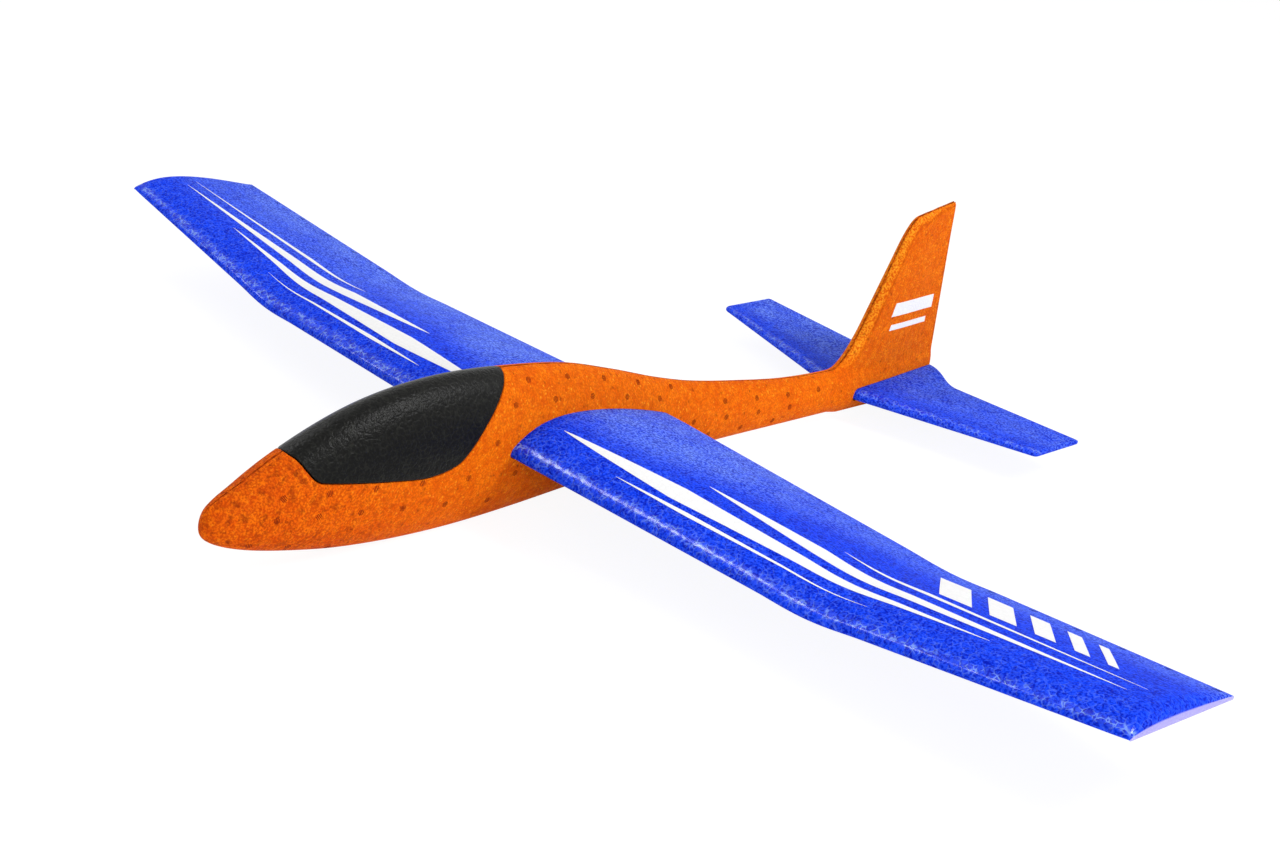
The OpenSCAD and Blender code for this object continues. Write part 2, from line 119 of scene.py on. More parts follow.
MIDDLE, TIP = LENGTH / 2, SPAN / 2
FIN_FOOT = LENGTH - FAIRING_HANG
CROWN_LINE = BOOM_RISE + BOOM_HEIGHT
FIN_RISE = FIN_TIP - CROWN_LINE
SLOT_TOP = TAIL_HEIGHT + TAIL_THICK / 2 + SEAT_GAP
SLOT_BOTTOM = TAIL_HEIGHT - TAIL_THICK / 2 - SEAT_GAP
TAIL_ROOT = BOOM_WIDTH / 2 + 1
PANEL_ROOT = SOCKET_WEB / 2 + SEAT_GAP


def lerp(a, b, t):
    return a + (b - a) * t


def ease(t):
    t = np.clip(t, 0, 1)
    return t * t * (3 - 2 * t)


def fade(x, start, end):
    """0 as far as start, 1 from end on, and a smooth change between them."""
    return ease((x - start) / (end - start))


def rounded(t):
    """A quarter circle that rises from 0 to 1."""
    return np.sqrt(1 - (1 - np.clip(t, 0, 1)) ** 2)


def soft_max(a, b, r):
    return np.maximum(a, b) + np.maximum(r - abs(a - b), 0) ** 2 / (4 * r)


def soft_min(a, b, r):
    return -soft_max(-a, -b, r)


def stretch(line, x, step=0.1):
    """Length of a line of heights over its run, at x."""
    slope = (line(x + step) - line(x - step)) / (2 * step)
    return math.sqrt(1 + slope * slope)


def flowing(points):
    """A smooth curve through a list of points, as a function of x."""
    xs, ys = np.array(points, float).T
    last = len(xs) - 1
    knots = np.arange(len(xs))
    before, after = np.maximum(knots - 1, 0), np.minimum(knots + 1, last)
    slopes = (ys[after] - ys[before]) / (xs[after] - xs[before])

    def at(x):
        i = np.clip(np.searchsorted(xs, x, side="right") - 1, 0, last - 1)
        run = xs[i + 1] - xs[i]
        t = np.clip((x - xs[i]) / run, 0, 1)
        return (lerp(ys[i], ys[i + 1], ease(t))
                + run * t * (slopes[i] * (1 - t) ** 2 - slopes[i + 1] * t * (1 - t)))

    return at


nose_crown = flowing([(0, 0), (0.13, 0.16), (0.25, 0.25), (0.375, 0.355), (0.53, 0.555),
                      (0.75, 0.85), (0.875, 0.96), (1, 1), (1.125, 0.96)])
nose_keel = flowing([(0, 0), (0.11, 0.17), (0.21, 0.29), (0.36, 0.46), (0.57, 0.69),
                     (0.73, 0.865), (0.87, 0.965), (1, 1), (1.13, 0.965)])
nose_side = flowing([(0, 0), (0.19, 0.32), (0.32, 0.515), (0.44, 0.69), (0.63, 0.88),
                     (0.85, 0.985), (1, 1), (1.15, 0.985)])
rear_crown = flowing([(-0.1, 0.03), (0, 0), (0.1, 0.03), (0.25, 0.14), (0.375, 0.345),
                      (0.485, 0.555), (0.585, 0.71), (0.72, 0.85), (0.855, 0.96), (1, 1),
                      (1.145, 0.96)])
rear_keel = flowing([(-0.2, 0.18), (0, 0), (0.2, 0.18), (0.4, 0.5), (0.6, 0.8), (0.75, 0.93),
                     (1, 1), (1.25, 0.93)])
rear_side = flowing([(-0.1, 0.02), (0, 0), (0.1, 0.02), (0.25, 0.23), (0.375, 0.49),
                     (0.485, 0.78), (0.6, 0.92), (0.76, 0.985), (1, 1), (1.2, 1)])


def nose_share(s):
    return math.sqrt(min(max(s / CREST, 0), 1))


def rear_share(s):
    return min(max((s - CREST) / (BOOM_START - CREST), 0), 1)


def crown(s):
    if s < CREST:
        return lerp(NOSE_TIP, CABIN_HEIGHT, nose_crown(nose_share(s)))
    return lerp(CABIN_HEIGHT, CROWN_LINE, rear_crown(rear_share(s)))


def keel(s):
    if s < CREST:
        return lerp(NOSE_TIP, -BELLY_FLAT, nose_keel(nose_share(s)))
    sweep_from = TAIL_START + KEEL_SWEEP
    end = np.clip((s - sweep_from) / (FIN_FOOT - sweep_from), 0, 1)
    boom = lerp(-BELLY_FLAT, BOOM_RISE, rear_keel(min(rear_share(s) / KEEL_FULL, 1)))
    return lerp(boom, SLOT_BOTTOM + KEEL_WEB, end * end)


def half_side(s):
    if s < CREST:
        return CABIN_WIDTH / 2 * nose_side(nose_share(s))
    taper = np.clip((s - TAIL_START) / (FIN_FOOT - TAIL_START), 0, 1)
    return lerp(lerp(CABIN_WIDTH, BOOM_WIDTH, rear_side(rear_share(s))) / 2, FIN_BASE, taper)


def top_line(s):
    if s < FIN_START - 2 * FILLET:
        return crown(s)
    front = CROWN_LINE + (s - FIN_START) / math.tan(FIN_SWEEP)
    top = FIN_TIP - (FIN_FOOT - FIN_LEAN - s) * FIN_TOP_SLOPE
    rear = SLOT_TOP + (FIN_FOOT - s) * (FIN_TIP - SLOT_TOP) / FIN_LEAN
    line = soft_min(soft_max(crown(s), front, FOOT_FILLET), top, FIN_CORNER)
    return soft_min(line, rear, FILLET)


def body_half(s, z):
    low, high = keel(s), crown(s)
    mid = lerp(low, high, WAIST)
    u = np.clip(np.where(z < mid, (mid - z) / (mid - low), (z - mid) / (high - mid)), 0, 1)
    full = np.where(z < mid, FULL_BELOW, FULL_ABOVE)
    return half_side(s) * (1 - u ** full) ** (1 / full)


def fin_ends(up):
    """Stations of the fin's front and rear edge at a share of its height."""
    return FIN_START + up * FIN_RISE * math.tan(FIN_SWEEP), FIN_FOOT - up * FIN_LEAN


def below_top(s, z):
    """Distance of points of a station from the top line."""
    return np.maximum(top_line(s) - z, 0) / stretch(top_line, s, 0.5)


def fin_half(s, z):
    up = np.clip((z - CROWN_LINE) / FIN_RISE, 0, 1)
    front, rear = fin_ends(up)
    chord = np.clip((s - front) / (rear - front), 0, 1)
    thick = lerp(lerp(FIN_THICK, FIN_TIP_THICK, up), FIN_EDGE, fade(chord, *FIN_THINS))
    radius = lerp(FIN_ROUND, FIN_EDGE_ROUND, fade(chord, *FIN_BLUNTS))
    return fade(s - FIN_START, *FIN_SHOWS) * thick / 2 * rounded(below_top(s, z) / radius)


def side_at(s, z):
    """Half width of the fuselage or the fin at a station, for heights z."""
    return (body_half(s, z) ** 4 + fin_half(s, z) ** 4) ** 0.25


def side_point(s, z):
    """Point on the left side of the fuselage or the fin."""
    return Vector((float(side_at(s, np.array([z]))[0]), s - MIDDLE, z))


def fin_skin(s, z, step=0.5):
    """Point on the left side of the fin, and the direction away from it."""
    here = side_point(s, z)
    ahead, above = side_point(s + step, z), side_point(s, z + step)
    away = Vector((1, (here.x - ahead.x) / step, (here.x - above.x) / step))
    return here, away.normalized()


def canopy_edge(gap, steps=12):
    """Height of the canopy's lower edge as a function of the station, grown by a gap."""
    front, rear, sill = CANOPY_FRONT - gap, CANOPY_REAR + gap, SILL - gap
    path = np.array([(front - 3, crown(front) + 6), (front, crown(front))]
                    + [(front + a, sill + SILL_RISE + b) for a, b in CANOPY_NOSE_EDGE]
                    + [(rear - a, sill + b) for a, b in CANOPY_REAR_EDGE]
                    + [(rear, crown(rear)), (rear + 2, crown(rear) + 6)])
    line = []
    for i in range(1, len(path) - 2):
        p0, p1, p2, p3 = path[i - 1:i + 3]
        for t in np.linspace(0, 1, steps, endpoint=False):
            line.append(0.5 * (2 * p1 + (p2 - p0) * t + (2 * p0 - 5 * p1 + 4 * p2 - p3) * t * t
                               + (3 * p1 - p0 - 3 * p2 + p3) * t ** 3))
    line = np.array(line + [path[-2]])
    return lambda s: float(np.interp(s, line[:, 0], line[:, 1], left=1e3, right=1e3))


def foil_top(u, thick):
    """Height of the wing's top: a four-digit section, flatter at the nose, over a lip."""
    crest = 10 * (0.2969 * np.sqrt(u) - 0.126 * u - 0.3516 * u ** 2 + 0.2843 * u ** 3
                  - 0.1036 * u ** 4)
    return (thick * crest * (1 - 0.2 * (1 - u) ** 12) + LIP * thick * (1 - u) ** 30
            + WING_EDGE * u)


def foil_bottom(u, thick):
    """Height of the wing's underside: flat, and rounded up to the lip."""
    return LIP * thick * (1 - rounded(u / LIP_RUN))


def along(sizes, x):
    """A size along the span: level at the root, then straight to the bend and the tip."""
    root, bend, tip = sizes
    inner = lerp(root, bend, max(x - ROOT_STRAIGHT, 0) / (BEND - ROOT_STRAIGHT))
    outer = lerp(bend, tip, (x - BEND) / (TIP - BEND))
    return lerp(inner, outer, fade(x, BEND - BEND_BLEND, BEND + BEND_BLEND))


def wing_frame(x):
    """Leading edge station, chord, height, pitch and thickness of the wing at a reach."""
    into = np.clip((x - TIP + TIP_ROUND) / TIP_ROUND, 0, 1)
    close = lerp(TIP_CLOSED, 1, (1 - into ** 3) ** (1 / 3))
    corner = WING_CORNER * (1 - math.sqrt(1 - into ** 2))
    share = (BEND - ROOT_STRAIGHT) / (TIP - ROOT_STRAIGHT) * BEND_TWIST
    thick = along((ROOT_THICK, lerp(ROOT_THICK, TIP_THICK, share), TIP_THICK), x) * close
    pitch = along((ROOT_PITCH, lerp(ROOT_PITCH, TIP_PITCH, BEND_TWIST), TIP_PITCH), x)
    return (WING_START + along(SWEEPS, x) + corner, along(CHORDS, x) - corner,
            WING_HEIGHT + along(RISES, x), pitch, thick)


def wing_top(x, u):
    """Point on the top of the left wing at a reach and a share of the chord."""
    front, chord, height, pitch, thick = wing_frame(x)
    return Vector((x, front + chord * u - MIDDLE, height - pitch * u + foil_top(u, thick)))


def wing_skin(x, u):
    """Point on the top of the left wing, and the direction away from it."""
    here = wing_top(x, u)
    away = (wing_top(x + 0.5, u) - here).cross(wing_top(x, u + 0.003) - here)
    return here, away.normalized()


# ---- Meshes ---------------------------------------------------------------------

SHARP_ANGLE = math.radians(38)
WINGS = ("left_wing", "right_wing")


def graded(*spans):
    """Positions from (start, step) pairs; the last pair gives only the end."""
    rows = [np.arange(a, b - step * 0.4, step) for (a, step), (b, _) in zip(spans, spans[1:])]
    return np.concatenate(rows + [[spans[-1][0]]])


def cosine(count):
    """Shares from 0 to 1 that crowd at both ends."""
    return (1 - np.cos(np.pi * np.arange(count + 1) / count)) / 2


def to_round_end(end, radius, first, count):
    """Positions that crowd towards a rounded end, from a first angle in degrees."""
    return end - radius * (1 - np.sin(np.radians(np.linspace(first, 90, count))))


def circle(station, height, radius, degrees):
    """Points of a circle or an arc, as (station, height) pairs."""
    return [(station + radius * math.cos(a), height + radius * math.sin(a))
            for a in np.radians(degrees)]


def smoothed(mesh):
    mesh.shade_smooth()
    mesh.set_sharp_from_angle(angle=SHARP_ANGLE)


def cleaned(mesh):
    """Merges a mesh's doubles, turns its faces outward and keeps its sharp edges."""
    work = bmesh.new()
    work.from_mesh(mesh)
    bmesh.ops.remove_doubles(work, verts=work.verts, dist=2e-6)
    bmesh.ops.dissolve_degenerate(work, edges=work.edges, dist=1e-7)
    bmesh.ops.recalc_face_normals(work, faces=work.faces)
    work.to_mesh(mesh)
    work.free()
    smoothed(mesh)


def linked(name, data):
    """An object of a mesh, lamp or camera, put in the scene."""
    thing = bpy.data.objects.new(name, data)
    bpy.context.scene.collection.objects.link(thing)
    return thing


def grid_faces(rows, width, first=0, closed=False):
    """Faces between rows of points, where each row may close on itself."""
    faces = []
    for r in range(rows - 1):
        for i in range(width if closed else width - 1):
            a, b = (first + r * width + j % width for j in (i, i + 1))
            faces.append((a, b, b + width, a + width))
    return faces


def loft(name, rings, marks=None):
    """A closed mesh through rings of points in millimetres. marks holds one value of each
    named attribute for every point, ring by ring."""
    count, last = len(rings[0]), len(rings) - 1
    caps = [tuple(range(count))[::-1], tuple(last * count + i for i in range(count))]
    mesh = bpy.data.meshes.new(name)
    mesh.from_pydata((np.concatenate(rings) * MM).tolist(), [],
                     caps + grid_faces(len(rings), count, closed=True))
    for mark, values in (marks or {}).items():
        mesh.attributes.new(mark, "FLOAT", "POINT").data.foreach_set(
            "value", np.concatenate(values).astype(np.float32))
    cleaned(mesh)
    return linked(name, mesh)


def prism(name, outline, start, end):
    """A closed bar along X with an outline of (station, height) points."""
    return loft(name, [np.array([(x, s - MIDDLE, z) for s, z in outline])
                       for x in (start, end)])


def baked(piece):
    """The piece with its modifiers turned into a plain mesh."""
    bpy.context.view_layer.update()
    shape = piece.evaluated_get(bpy.context.evaluated_depsgraph_get())
    mesh = bpy.data.meshes.new_from_object(shape)
    piece.modifiers.clear()
    old, piece.data = piece.data, mesh
    mesh.name = piece.name
    bpy.data.meshes.remove(old)
    return piece


def carved(piece, *cutters):
    """The piece with the cutters cut out of it. The cutters are removed."""
    for cutter in cutters:
        cut = piece.modifiers.new(cutter.name, "BOOLEAN")
        cut.operation, cut.solver, cut.object = "DIFFERENCE", "EXACT", cutter
    baked(piece)
    for cutter in cutters:
        bpy.data.objects.remove(cutter)
    smoothed(piece.data)
    return piece


def mirrored(piece, name):
    """A copy of a piece on the other side of the centre plane."""
    copy = linked(name, piece.data.copy())
    copy.data.transform(Matrix.Scale(-1, 4, (1, 0, 0)))
    copy.data.flip_normals()
    copy.data.name = name
    return copy


def dress(piece, body, material, replaces=None):
    """Gives a finished piece its material and its body, and hides the CAD node that it stands
    for.
    """
    piece.data.materials.clear()
    piece.data.materials.append(material)
    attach(piece, body)
    if replaces:
        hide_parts(replaces)


def dress_pair(left, name, bodies, material, replaces=(None, None)):
    """Dresses a left piece and its mirror image, which gets the name given."""
    right = mirrored(left, name)
    for piece, body, node in zip((left, right), bodies, replaces):
        dress(piece, body, material, node)
    return right


# ---- Node trees -------------------------------------------------------------------


class Term:
    """A node's output in an expression on numbers. Its operators add Math nodes."""

    def __init__(self, graph, socket):
        self.graph, self.socket = graph, socket

    def of(self, output):
        return Term(self.graph, self.socket.node.outputs[output])

    def __add__(self, other):
        return self.graph.math("ADD", self, other)

    def __sub__(self, other):
        return self.graph.math("SUBTRACT", self, other)

    def __rsub__(self, other):
        return self.graph.math("SUBTRACT", other, self)

    def __mul__(self, other):
        return self.graph.math("MULTIPLY", self, other)

    def __truediv__(self, other):
        return self.graph.math("DIVIDE", self, other)

    __radd__, __rmul__ = __add__, __mul__


class Graph:
    """A tree of material, world or geometry nodes."""

    def __init__(self, tree):
        self.tree = tree
        tree.nodes.clear()

    def add(self, kind, settings=(), values=(), output=0):
        """Adds a node with its settings and inputs, and gives one of its outputs."""
        node = self.tree.nodes.new(kind)
        for key, value in dict(settings).items():
            setattr(node, key, value)
        for key, value in dict(values).items():
            if isinstance(value, Term):
                self.tree.links.new(value.socket, node.inputs[key])
            else:
                node.inputs[key].default_value = value
        return Term(self, node.outputs[output]) if len(node.outputs) else node

    def math(self, operation, *numbers):
        return self.add("ShaderNodeMath", {"operation": operation}, enumerate(numbers))

    def look_apart(self, looks, lights):
        """A shader with one look to the eye, in gloss and through glass, and another in
        the light that it gives."""
        path = self.add("ShaderNodeLightPath")
        seen = (path.of("Is Camera Ray") + path.of("Is Glossy Ray")
                + path.of("Is Transmission Ray"))
        return self.add("ShaderNodeMixShader", {}, {0: seen, 1: lights, 2: looks})


class Finish(Graph):
    """A material that is built node by node."""

    def __init__(self, name):
        self.material = bpy.data.materials.new(name)
        self.material.use_nodes = True
        super().__init__(self.material.node_tree)

    def place(self):
        """The point on the piece, in metres."""
        return self.add("ShaderNodeTexCoord").of("Object")

    def mark(self, name):
        return self.add("ShaderNodeAttribute", {"attribute_name": name}).of("Fac")

    def step(self, value, low, high):
        """0 below low, 1 above high and a smooth rise between them."""
        return self.add("ShaderNodeMapRange", {"interpolation_type": "SMOOTHSTEP"},
                        {"Value": value, "From Min": low, "From Max": high})

    def grain(self, place, size, detail=2.0):
        return self.add("ShaderNodeTexNoise", {}, {"Vector": place, "Scale": 1 / size,
                                                   "Detail": detail})

    def patches(self, place, size, low, high, detail=2.0):
        return self.step(self.grain(place, size, detail), low, high)

    def cells(self, place, size, feature="F1"):
        return self.add("ShaderNodeTexVoronoi", {"feature": feature},
                        {"Vector": place, "Scale": 1 / size})

    def waved(self, place, size, amount):
        """The place, shifted a little by noise, so that cells aren't straight-sided."""
        shift = self.add("ShaderNodeVectorMath", {"operation": "SUBTRACT"},
                         {0: self.grain(place, size).of("Color"), 1: (0.5, 0.5, 0.5)})
        shift = self.add("ShaderNodeVectorMath", {"operation": "SCALE"},
                         {0: shift, "Scale": amount})
        return self.add("ShaderNodeVectorMath", {"operation": "ADD"}, {0: place, 1: shift})

    def beads(self, place, bead, wave, shift):
        """Place in the bead pattern, a random share per bead, and distance from the rims."""
        bent = self.waved(place, bead * wave, bead * shift)
        tone = self.add("ShaderNodeSeparateColor", {}, {0: self.cells(bent, bead).of("Color")})
        return bent, tone, self.cells(bent, bead, "DISTANCE_TO_EDGE")

    def layers(self, colour, *coats):
        """A colour with others laid over it, from (share, colour) pairs."""
        for share, coat in coats:
            shades = {6: colour, 7: coat}
            shades = {k: v if isinstance(v, Term) else (*v, 1) for k, v in shades.items()}
            colour = self.add("ShaderNodeMix", {"data_type": "RGBA"}, {0: share, **shades}, 2)
        return colour

    def surface(self, shader):
        self.add("ShaderNodeOutputMaterial", {}, {"Surface": shader})
        return self.material

    def shade(self, colour, roughness, height, depth, **constants):
        """The finished material, with a bump of the given depth in metres."""
        bump = self.add("ShaderNodeBump", {}, {"Height": height, "Strength": 1.0,
                                               "Distance": depth})
        constants = {key.replace("_", " "): value for key, value in constants.items()}
        return self.surface(self.add("ShaderNodeBsdfPrincipled", {}, {
            "Base Color": colour, "Roughness": roughness, "Normal": bump, **constants}))


# ---- Materials ------------------------------------------------------------------


def scaled(colour, factor):
    return tuple(min(c * factor, 1.0) for c in colour)


def shared(build):
    """The material that a builder makes, built once for all the pieces that wear it."""
    name = "glider_" + build.__name__
    look = bpy.context.scene.glider_look
    return bpy.data.materials.get(name) or build(Finish(name), look, look.bead)


def orange_foam(f, look, bead):
    """Orange bead foam: mottled beads, browner and rougher at the nose, where part of the
    darkening is painted shade, with dark pits, yellow flecks, a painted highlight along the
    fin's rounded edge, and broken painted shade along the joint lines, the canopy's edge and
    a line inside the fin's edge."""
    place, nose = f.place(), f.mark("worn")
    bent, tone, rim = f.beads(place, bead, 0.9, 0.7)
    groove = f.step(rim, 0.0, 0.12)
    blotch = f.patches(place, bead * 1.3, 0.4, 0.62, 3.0)
    cloud = f.patches(place, bead * 8, 0.35, 0.68)
    fine = f.grain(place, bead * 0.32)
    mottle = f.step(fine, 0.4, 0.62)
    patch = f.patches(place, bead * 1.1, 0.5, 0.66, 3.0)
    pit = (1 - f.step(f.cells(bent, bead * 1.2), 0.12, 0.32)) * patch
    fleck_and_highlight = (1 - f.step(f.cells(place, bead * 0.7), 0.12, 0.34)) * (1 - patch)
    # painted highlight: heavier yellow flecks along the fin's rounded edge
    fleck_and_highlight = fleck_and_highlight * mottle * (0.8 - nose * 0.55) + f.mark("lit") * mottle * 0.65
    colour = f.layers(
        look.orange,
        # the nose mark darkens the foam towards the nose: mottled wear, and also painted shade
        (tone * 0.2 + (1 - blotch) * 0.3 + cloud * 0.15 + nose * 0.2, look.orange_dark),
        ((1 - mottle) * (0.42 + nose * 0.3), scaled(look.orange_dark, 0.66)),
        (fleck_and_highlight, look.orange_fleck),
        (patch * (0.1 + nose * 0.24), look.orange_pit),
        ((1 - groove) * nose * patch * 0.4, look.orange_pit),
        (pit * (0.48 + nose * 0.14), look.orange_pit),
        # painted shade in the joint groove, the canopy's recess and the line inside the fin's
        # edge
        (f.mark("gap") * (0.4 + f.patches(place, bead, 0.42, 0.56) * 0.55), look.orange_pit))
    height = groove * 0.3 + fine * 0.9 + blotch * 0.3 - pit * 0.8
    return f.shade(colour, 0.62 + tone * 0.1, height, bead * 0.08, Specular_IOR_Level=0.06)


def blue_foam(f, look, bead):
    """Blue bead foam: clear beads with thin pale rims and a shiny fused skin at the moulded
    front edge, with a painted highlight on its rims, a fine pale grain with a painted sheen
    towards the rear, and paler on the tip's end face."""
    place = f.place()
    nose, sheen, shine = f.mark("nose"), f.mark("sheen"), f.mark("shine")
    _, tone, rim = f.beads(place, bead, 0.9, 0.7)
    patch = f.patches(place, bead * 1.2, 0.38, 0.6)
    edge, highlight_web = ((1 - f.step(rim, 0.0, width)) * patch for width in (0.1, 0.13))
    grain = f.grain(place, bead * 0.36, 3.0)
    cloud = f.patches(place, bead * 6, 0.35, 0.68)
    # a fine pale grain all over, and a painted sheen where the sheen mark is high
    pale = f.step(grain, 0.44, 0.62) * (0.08 + sheen * 0.62) + sheen * (0.02 + cloud * 0.16)
    colour = f.layers(
        look.blue,
        (tone * 0.45 + (1 - f.step(grain, 0.38, 0.54)) * 0.6, look.blue_dark),
        (edge * (0.1 + nose * 0.16), look.blue_rim),
        # painted highlight: paler rims along the band where the strip lamp's highlight falls
        (highlight_web * shine * 0.42, look.blue_lit),
        (pale, look.blue_rim),
        # paler colour on the tip's end face
        (f.mark("cut") * 0.7, look.blue_cut))
    height = f.step(rim, 0.0, 0.35) * (0.3 + nose * 0.6) + grain * 1.1
    return f.shade(colour, 0.45 + grain * 0.2, height, bead * 0.1, Specular_IOR_Level=0.03,
                   Coat_Weight=shine * (0.35 + patch * 0.65) * look.skin, Coat_Roughness=0.12)


def black_foam(f, look, bead):
    """Charcoal bead foam: dark beads with paler worm-like rims, a soft sheen and painted shade
    along its edge.
    """
    place = f.place()
    _, tone, rim = f.beads(place, bead, 0.8, 0.8)
    fine = f.grain(place, bead * 0.3)
    edge = (1 - f.step(rim, 0.0, 0.12)) * f.patches(place, bead, 0.4, 0.62)
    pit = 1 - f.step(f.cells(place, bead * 1.5), 0.08, 0.2)
    deep = scaled(look.black, 0.3)
    colour = f.layers(
        look.black,
        (edge * 0.5 + f.step(fine, 0.5, 0.72) * 0.35, look.black_rim),
        # painted shade along the canopy's edge and its seam
        (tone * 0.4, scaled(look.black, 0.4)), (pit * 0.6, deep), (f.mark("gap") * 0.8, deep))
    height = f.step(rim, 0.0, 0.25) * 0.4 + fine * 0.8 - pit * 0.4
    return f.shade(colour, 0.25 + fine * 0.12, height, bead * 0.07, Specular_IOR_Level=0.13)


def white_film(f, look, bead):
    """White printed film that lets the beads below show through faintly."""
    place = f.place()
    rim = f.cells(f.waved(place, bead * 0.8, bead * 0.4), bead, "DISTANCE_TO_EDGE")
    groove = f.step(rim, 0.0, 0.15)
    colour = f.layers(scaled(look.film, 0.94),
                      (groove * 0.6 + f.grain(place, bead * 2) * 0.4, look.film))
    return f.shade(colour, 0.5 + groove * 0.05, groove, bead * 0.02, Specular_IOR_Level=0.1)


def plain_finish(name, colour, dark, scales, detail, roughness, depth, contrast=None,
                 **constants):
    """One colour with noise towards a darker one. scales are how often the noise changes
    in a metre of X, Y and Z, and roughness is a base and what the noise adds to it."""
    f = Finish(name)
    place = f.add("ShaderNodeMapping", {}, {"Vector": f.place(), "Scale": scales})
    grain = f.grain(place, 1, detail)
    share = f.step(grain, *contrast) if contrast else grain
    base, change = roughness
    return f.shade(f.layers(scaled(colour, dark), (share, colour)),
                   base + share * change if change else base, grain, depth, **constants)


def vent_slots(name, colour):
    """Colour of the steam-vent marks, darker than the skin: painted shade of the slots that
    the mould's steam vents leave.
    """
    return plain_finish(name, colour, 0.7, (1250, 1250, 1250), 3.0, (0.75, 0), 5e-5,
                        (0.3, 0.7), Specular_IOR_Level=0.1)


# ---- The photograph's view --------------------------------------------------------


class Picture:
    """The photograph's view: where a point of it meets the glider, and where a place on
    the glider shows in it."""

    def __init__(self, camera):
        data, side = camera.data, max(PHOTO_SIZE)
        width, height = PHOTO_SIZE
        self.eye = camera.matrix_world.translation.copy()
        self.turn = camera.matrix_world.to_3x3()
        self.middle = (width / 2 - data.shift_x * side, height / 2 + data.shift_y * side)
        self.reach = side * data.lens / data.sensor_width

    def ray(self, x, y):
        aim = Vector((x - self.middle[0], self.middle[1] - y, -self.reach))
        return (self.turn @ aim).normalized()

    def shown(self, place):
        """The photograph's x and y of a place."""
        local = self.turn.transposed() @ (place - self.eye)
        scale = self.reach / -local.z
        return self.middle[0] + local.x * scale, self.middle[1] - local.y * scale

    def landing(self, tree, x, y):
        """Place and normal where a point of the photograph meets a surface, or where the
        surface comes nearest to its ray."""
        aim = self.ray(x, y)
        place, normal, _, _ = tree.ray_cast(self.eye, aim)
        if place is None:
            near = [tree.find_nearest(self.eye + aim * d) for d in np.arange(0.5, 1.6, 0.002)]
            place, normal, _, _ = min(near, key=lambda hit: hit[3])
        return place, normal


def surface_of(*pieces):
    """A BVH tree of finished pieces."""
    work = bmesh.new()
    for piece in pieces:
        work.from_mesh(piece.data)
    tree = BVHTree.FromBMesh(work)
    work.free()
    return tree


# ---- Settings ---------------------------------------------------------------------


def tint(name, default, description):
    return FloatVectorProperty(name=name, description=description, subtype="COLOR", size=3,
                               min=0, max=1, default=default)


def number(name, default, low, high, description, **kind):
    return FloatProperty(name=name, description=description, default=default, min=low,
                         max=high, **kind)


def angle(name, degrees, description):
    return number(name, math.radians(degrees), -math.pi, math.pi, description,
                  unit="ROTATION")


class GliderLook(PropertyGroup):
    """Colours and bead size of the foam and the film."""

    bead: number("Bead size", 0.0028, 0.001, 0.006, "Size of one foam bead", unit="LENGTH")
    orange: tint("Fuselage", (1.0, 0.215, 0.002), "Light beads of the fuselage")
    orange_dark: tint("Fuselage, dark", (0.72, 0.07, 0.0), "Dark beads of the fuselage")
    # also the colour of the painted shade in the joint groove and the canopy's recess
    orange_pit: tint("Fuselage, pits", (0.2, 0.022, 0.0), "Pits and joint lines")
    orange_fleck: tint("Fuselage, flecks", (1.0, 0.4, 0.02), "Yellow flecks")
    blue: tint("Wing", (0.003, 0.06, 1.0), "Light beads of the wing and tailplane")
    blue_dark: tint("Wing, dark", (0.0, 0.01, 0.48), "Dark beads of the wing and tailplane")
    # also the colour of the painted sheen
    blue_rim: tint("Wing, rims", (0.22, 0.37, 1.0), "Pale rims of the blue beads")
    # painted highlight on the rims near the front edge
    blue_lit: tint("Wing, lit rims", (0.36, 0.62, 1.0), "Rims that catch the light")
    # paler colour of the tip's end face
    blue_cut: tint("Wing, trimmed", (0.62, 0.55, 0.9), "Trimmed foam at the wing tip")
    skin: number("Wing skin", 0.9, 0, 1, "Gloss of the front edges", subtype="FACTOR")
    black: tint("Canopy", (0.0025, 0.0025, 0.002), "Beads of the canopy")
    black_rim: tint("Canopy, rims", (0.024, 0.025, 0.02), "Rims of the canopy's beads")
    film: tint("Film", (0.95, 0.95, 0.95), "Printed stripes and bars")


class GliderDetail(PropertyGroup):
    """Sizes of the moulded details, in millimetres of the part's own frame."""

    seam_width: number("Joint width", 0.65, 0.1, 1,
                       "Half width of the joint line between the halves")
    seam_depth: number("Joint depth", 0.55, 0.1, 1.5,
                       "Depth of the joint line between the halves")
    lip: number("Canopy lip", 0.7, 0.2, 2, "Rounding of the foam at the canopy's edge")
    ridge: number("Parting ridge", 0.14, 0, 0.4,
                  "Height of the parting line on the wing's front edge")
    vent: number("Vent mark", 2.7, 1, 6, "Diameter of a steam-vent mark")
    vent_pitch: number("Wing vent spacing", 20.5, 8, 40,
                       "Distance between the vent marks of the wing")
    row_pitch: number("Boom vent spacing", 23.5, 8, 40,
                      "Distance between the vent marks of the boom")
    film: number("Film thickness", 0.12, 0.05, 0.4, "Thickness of the printed film")


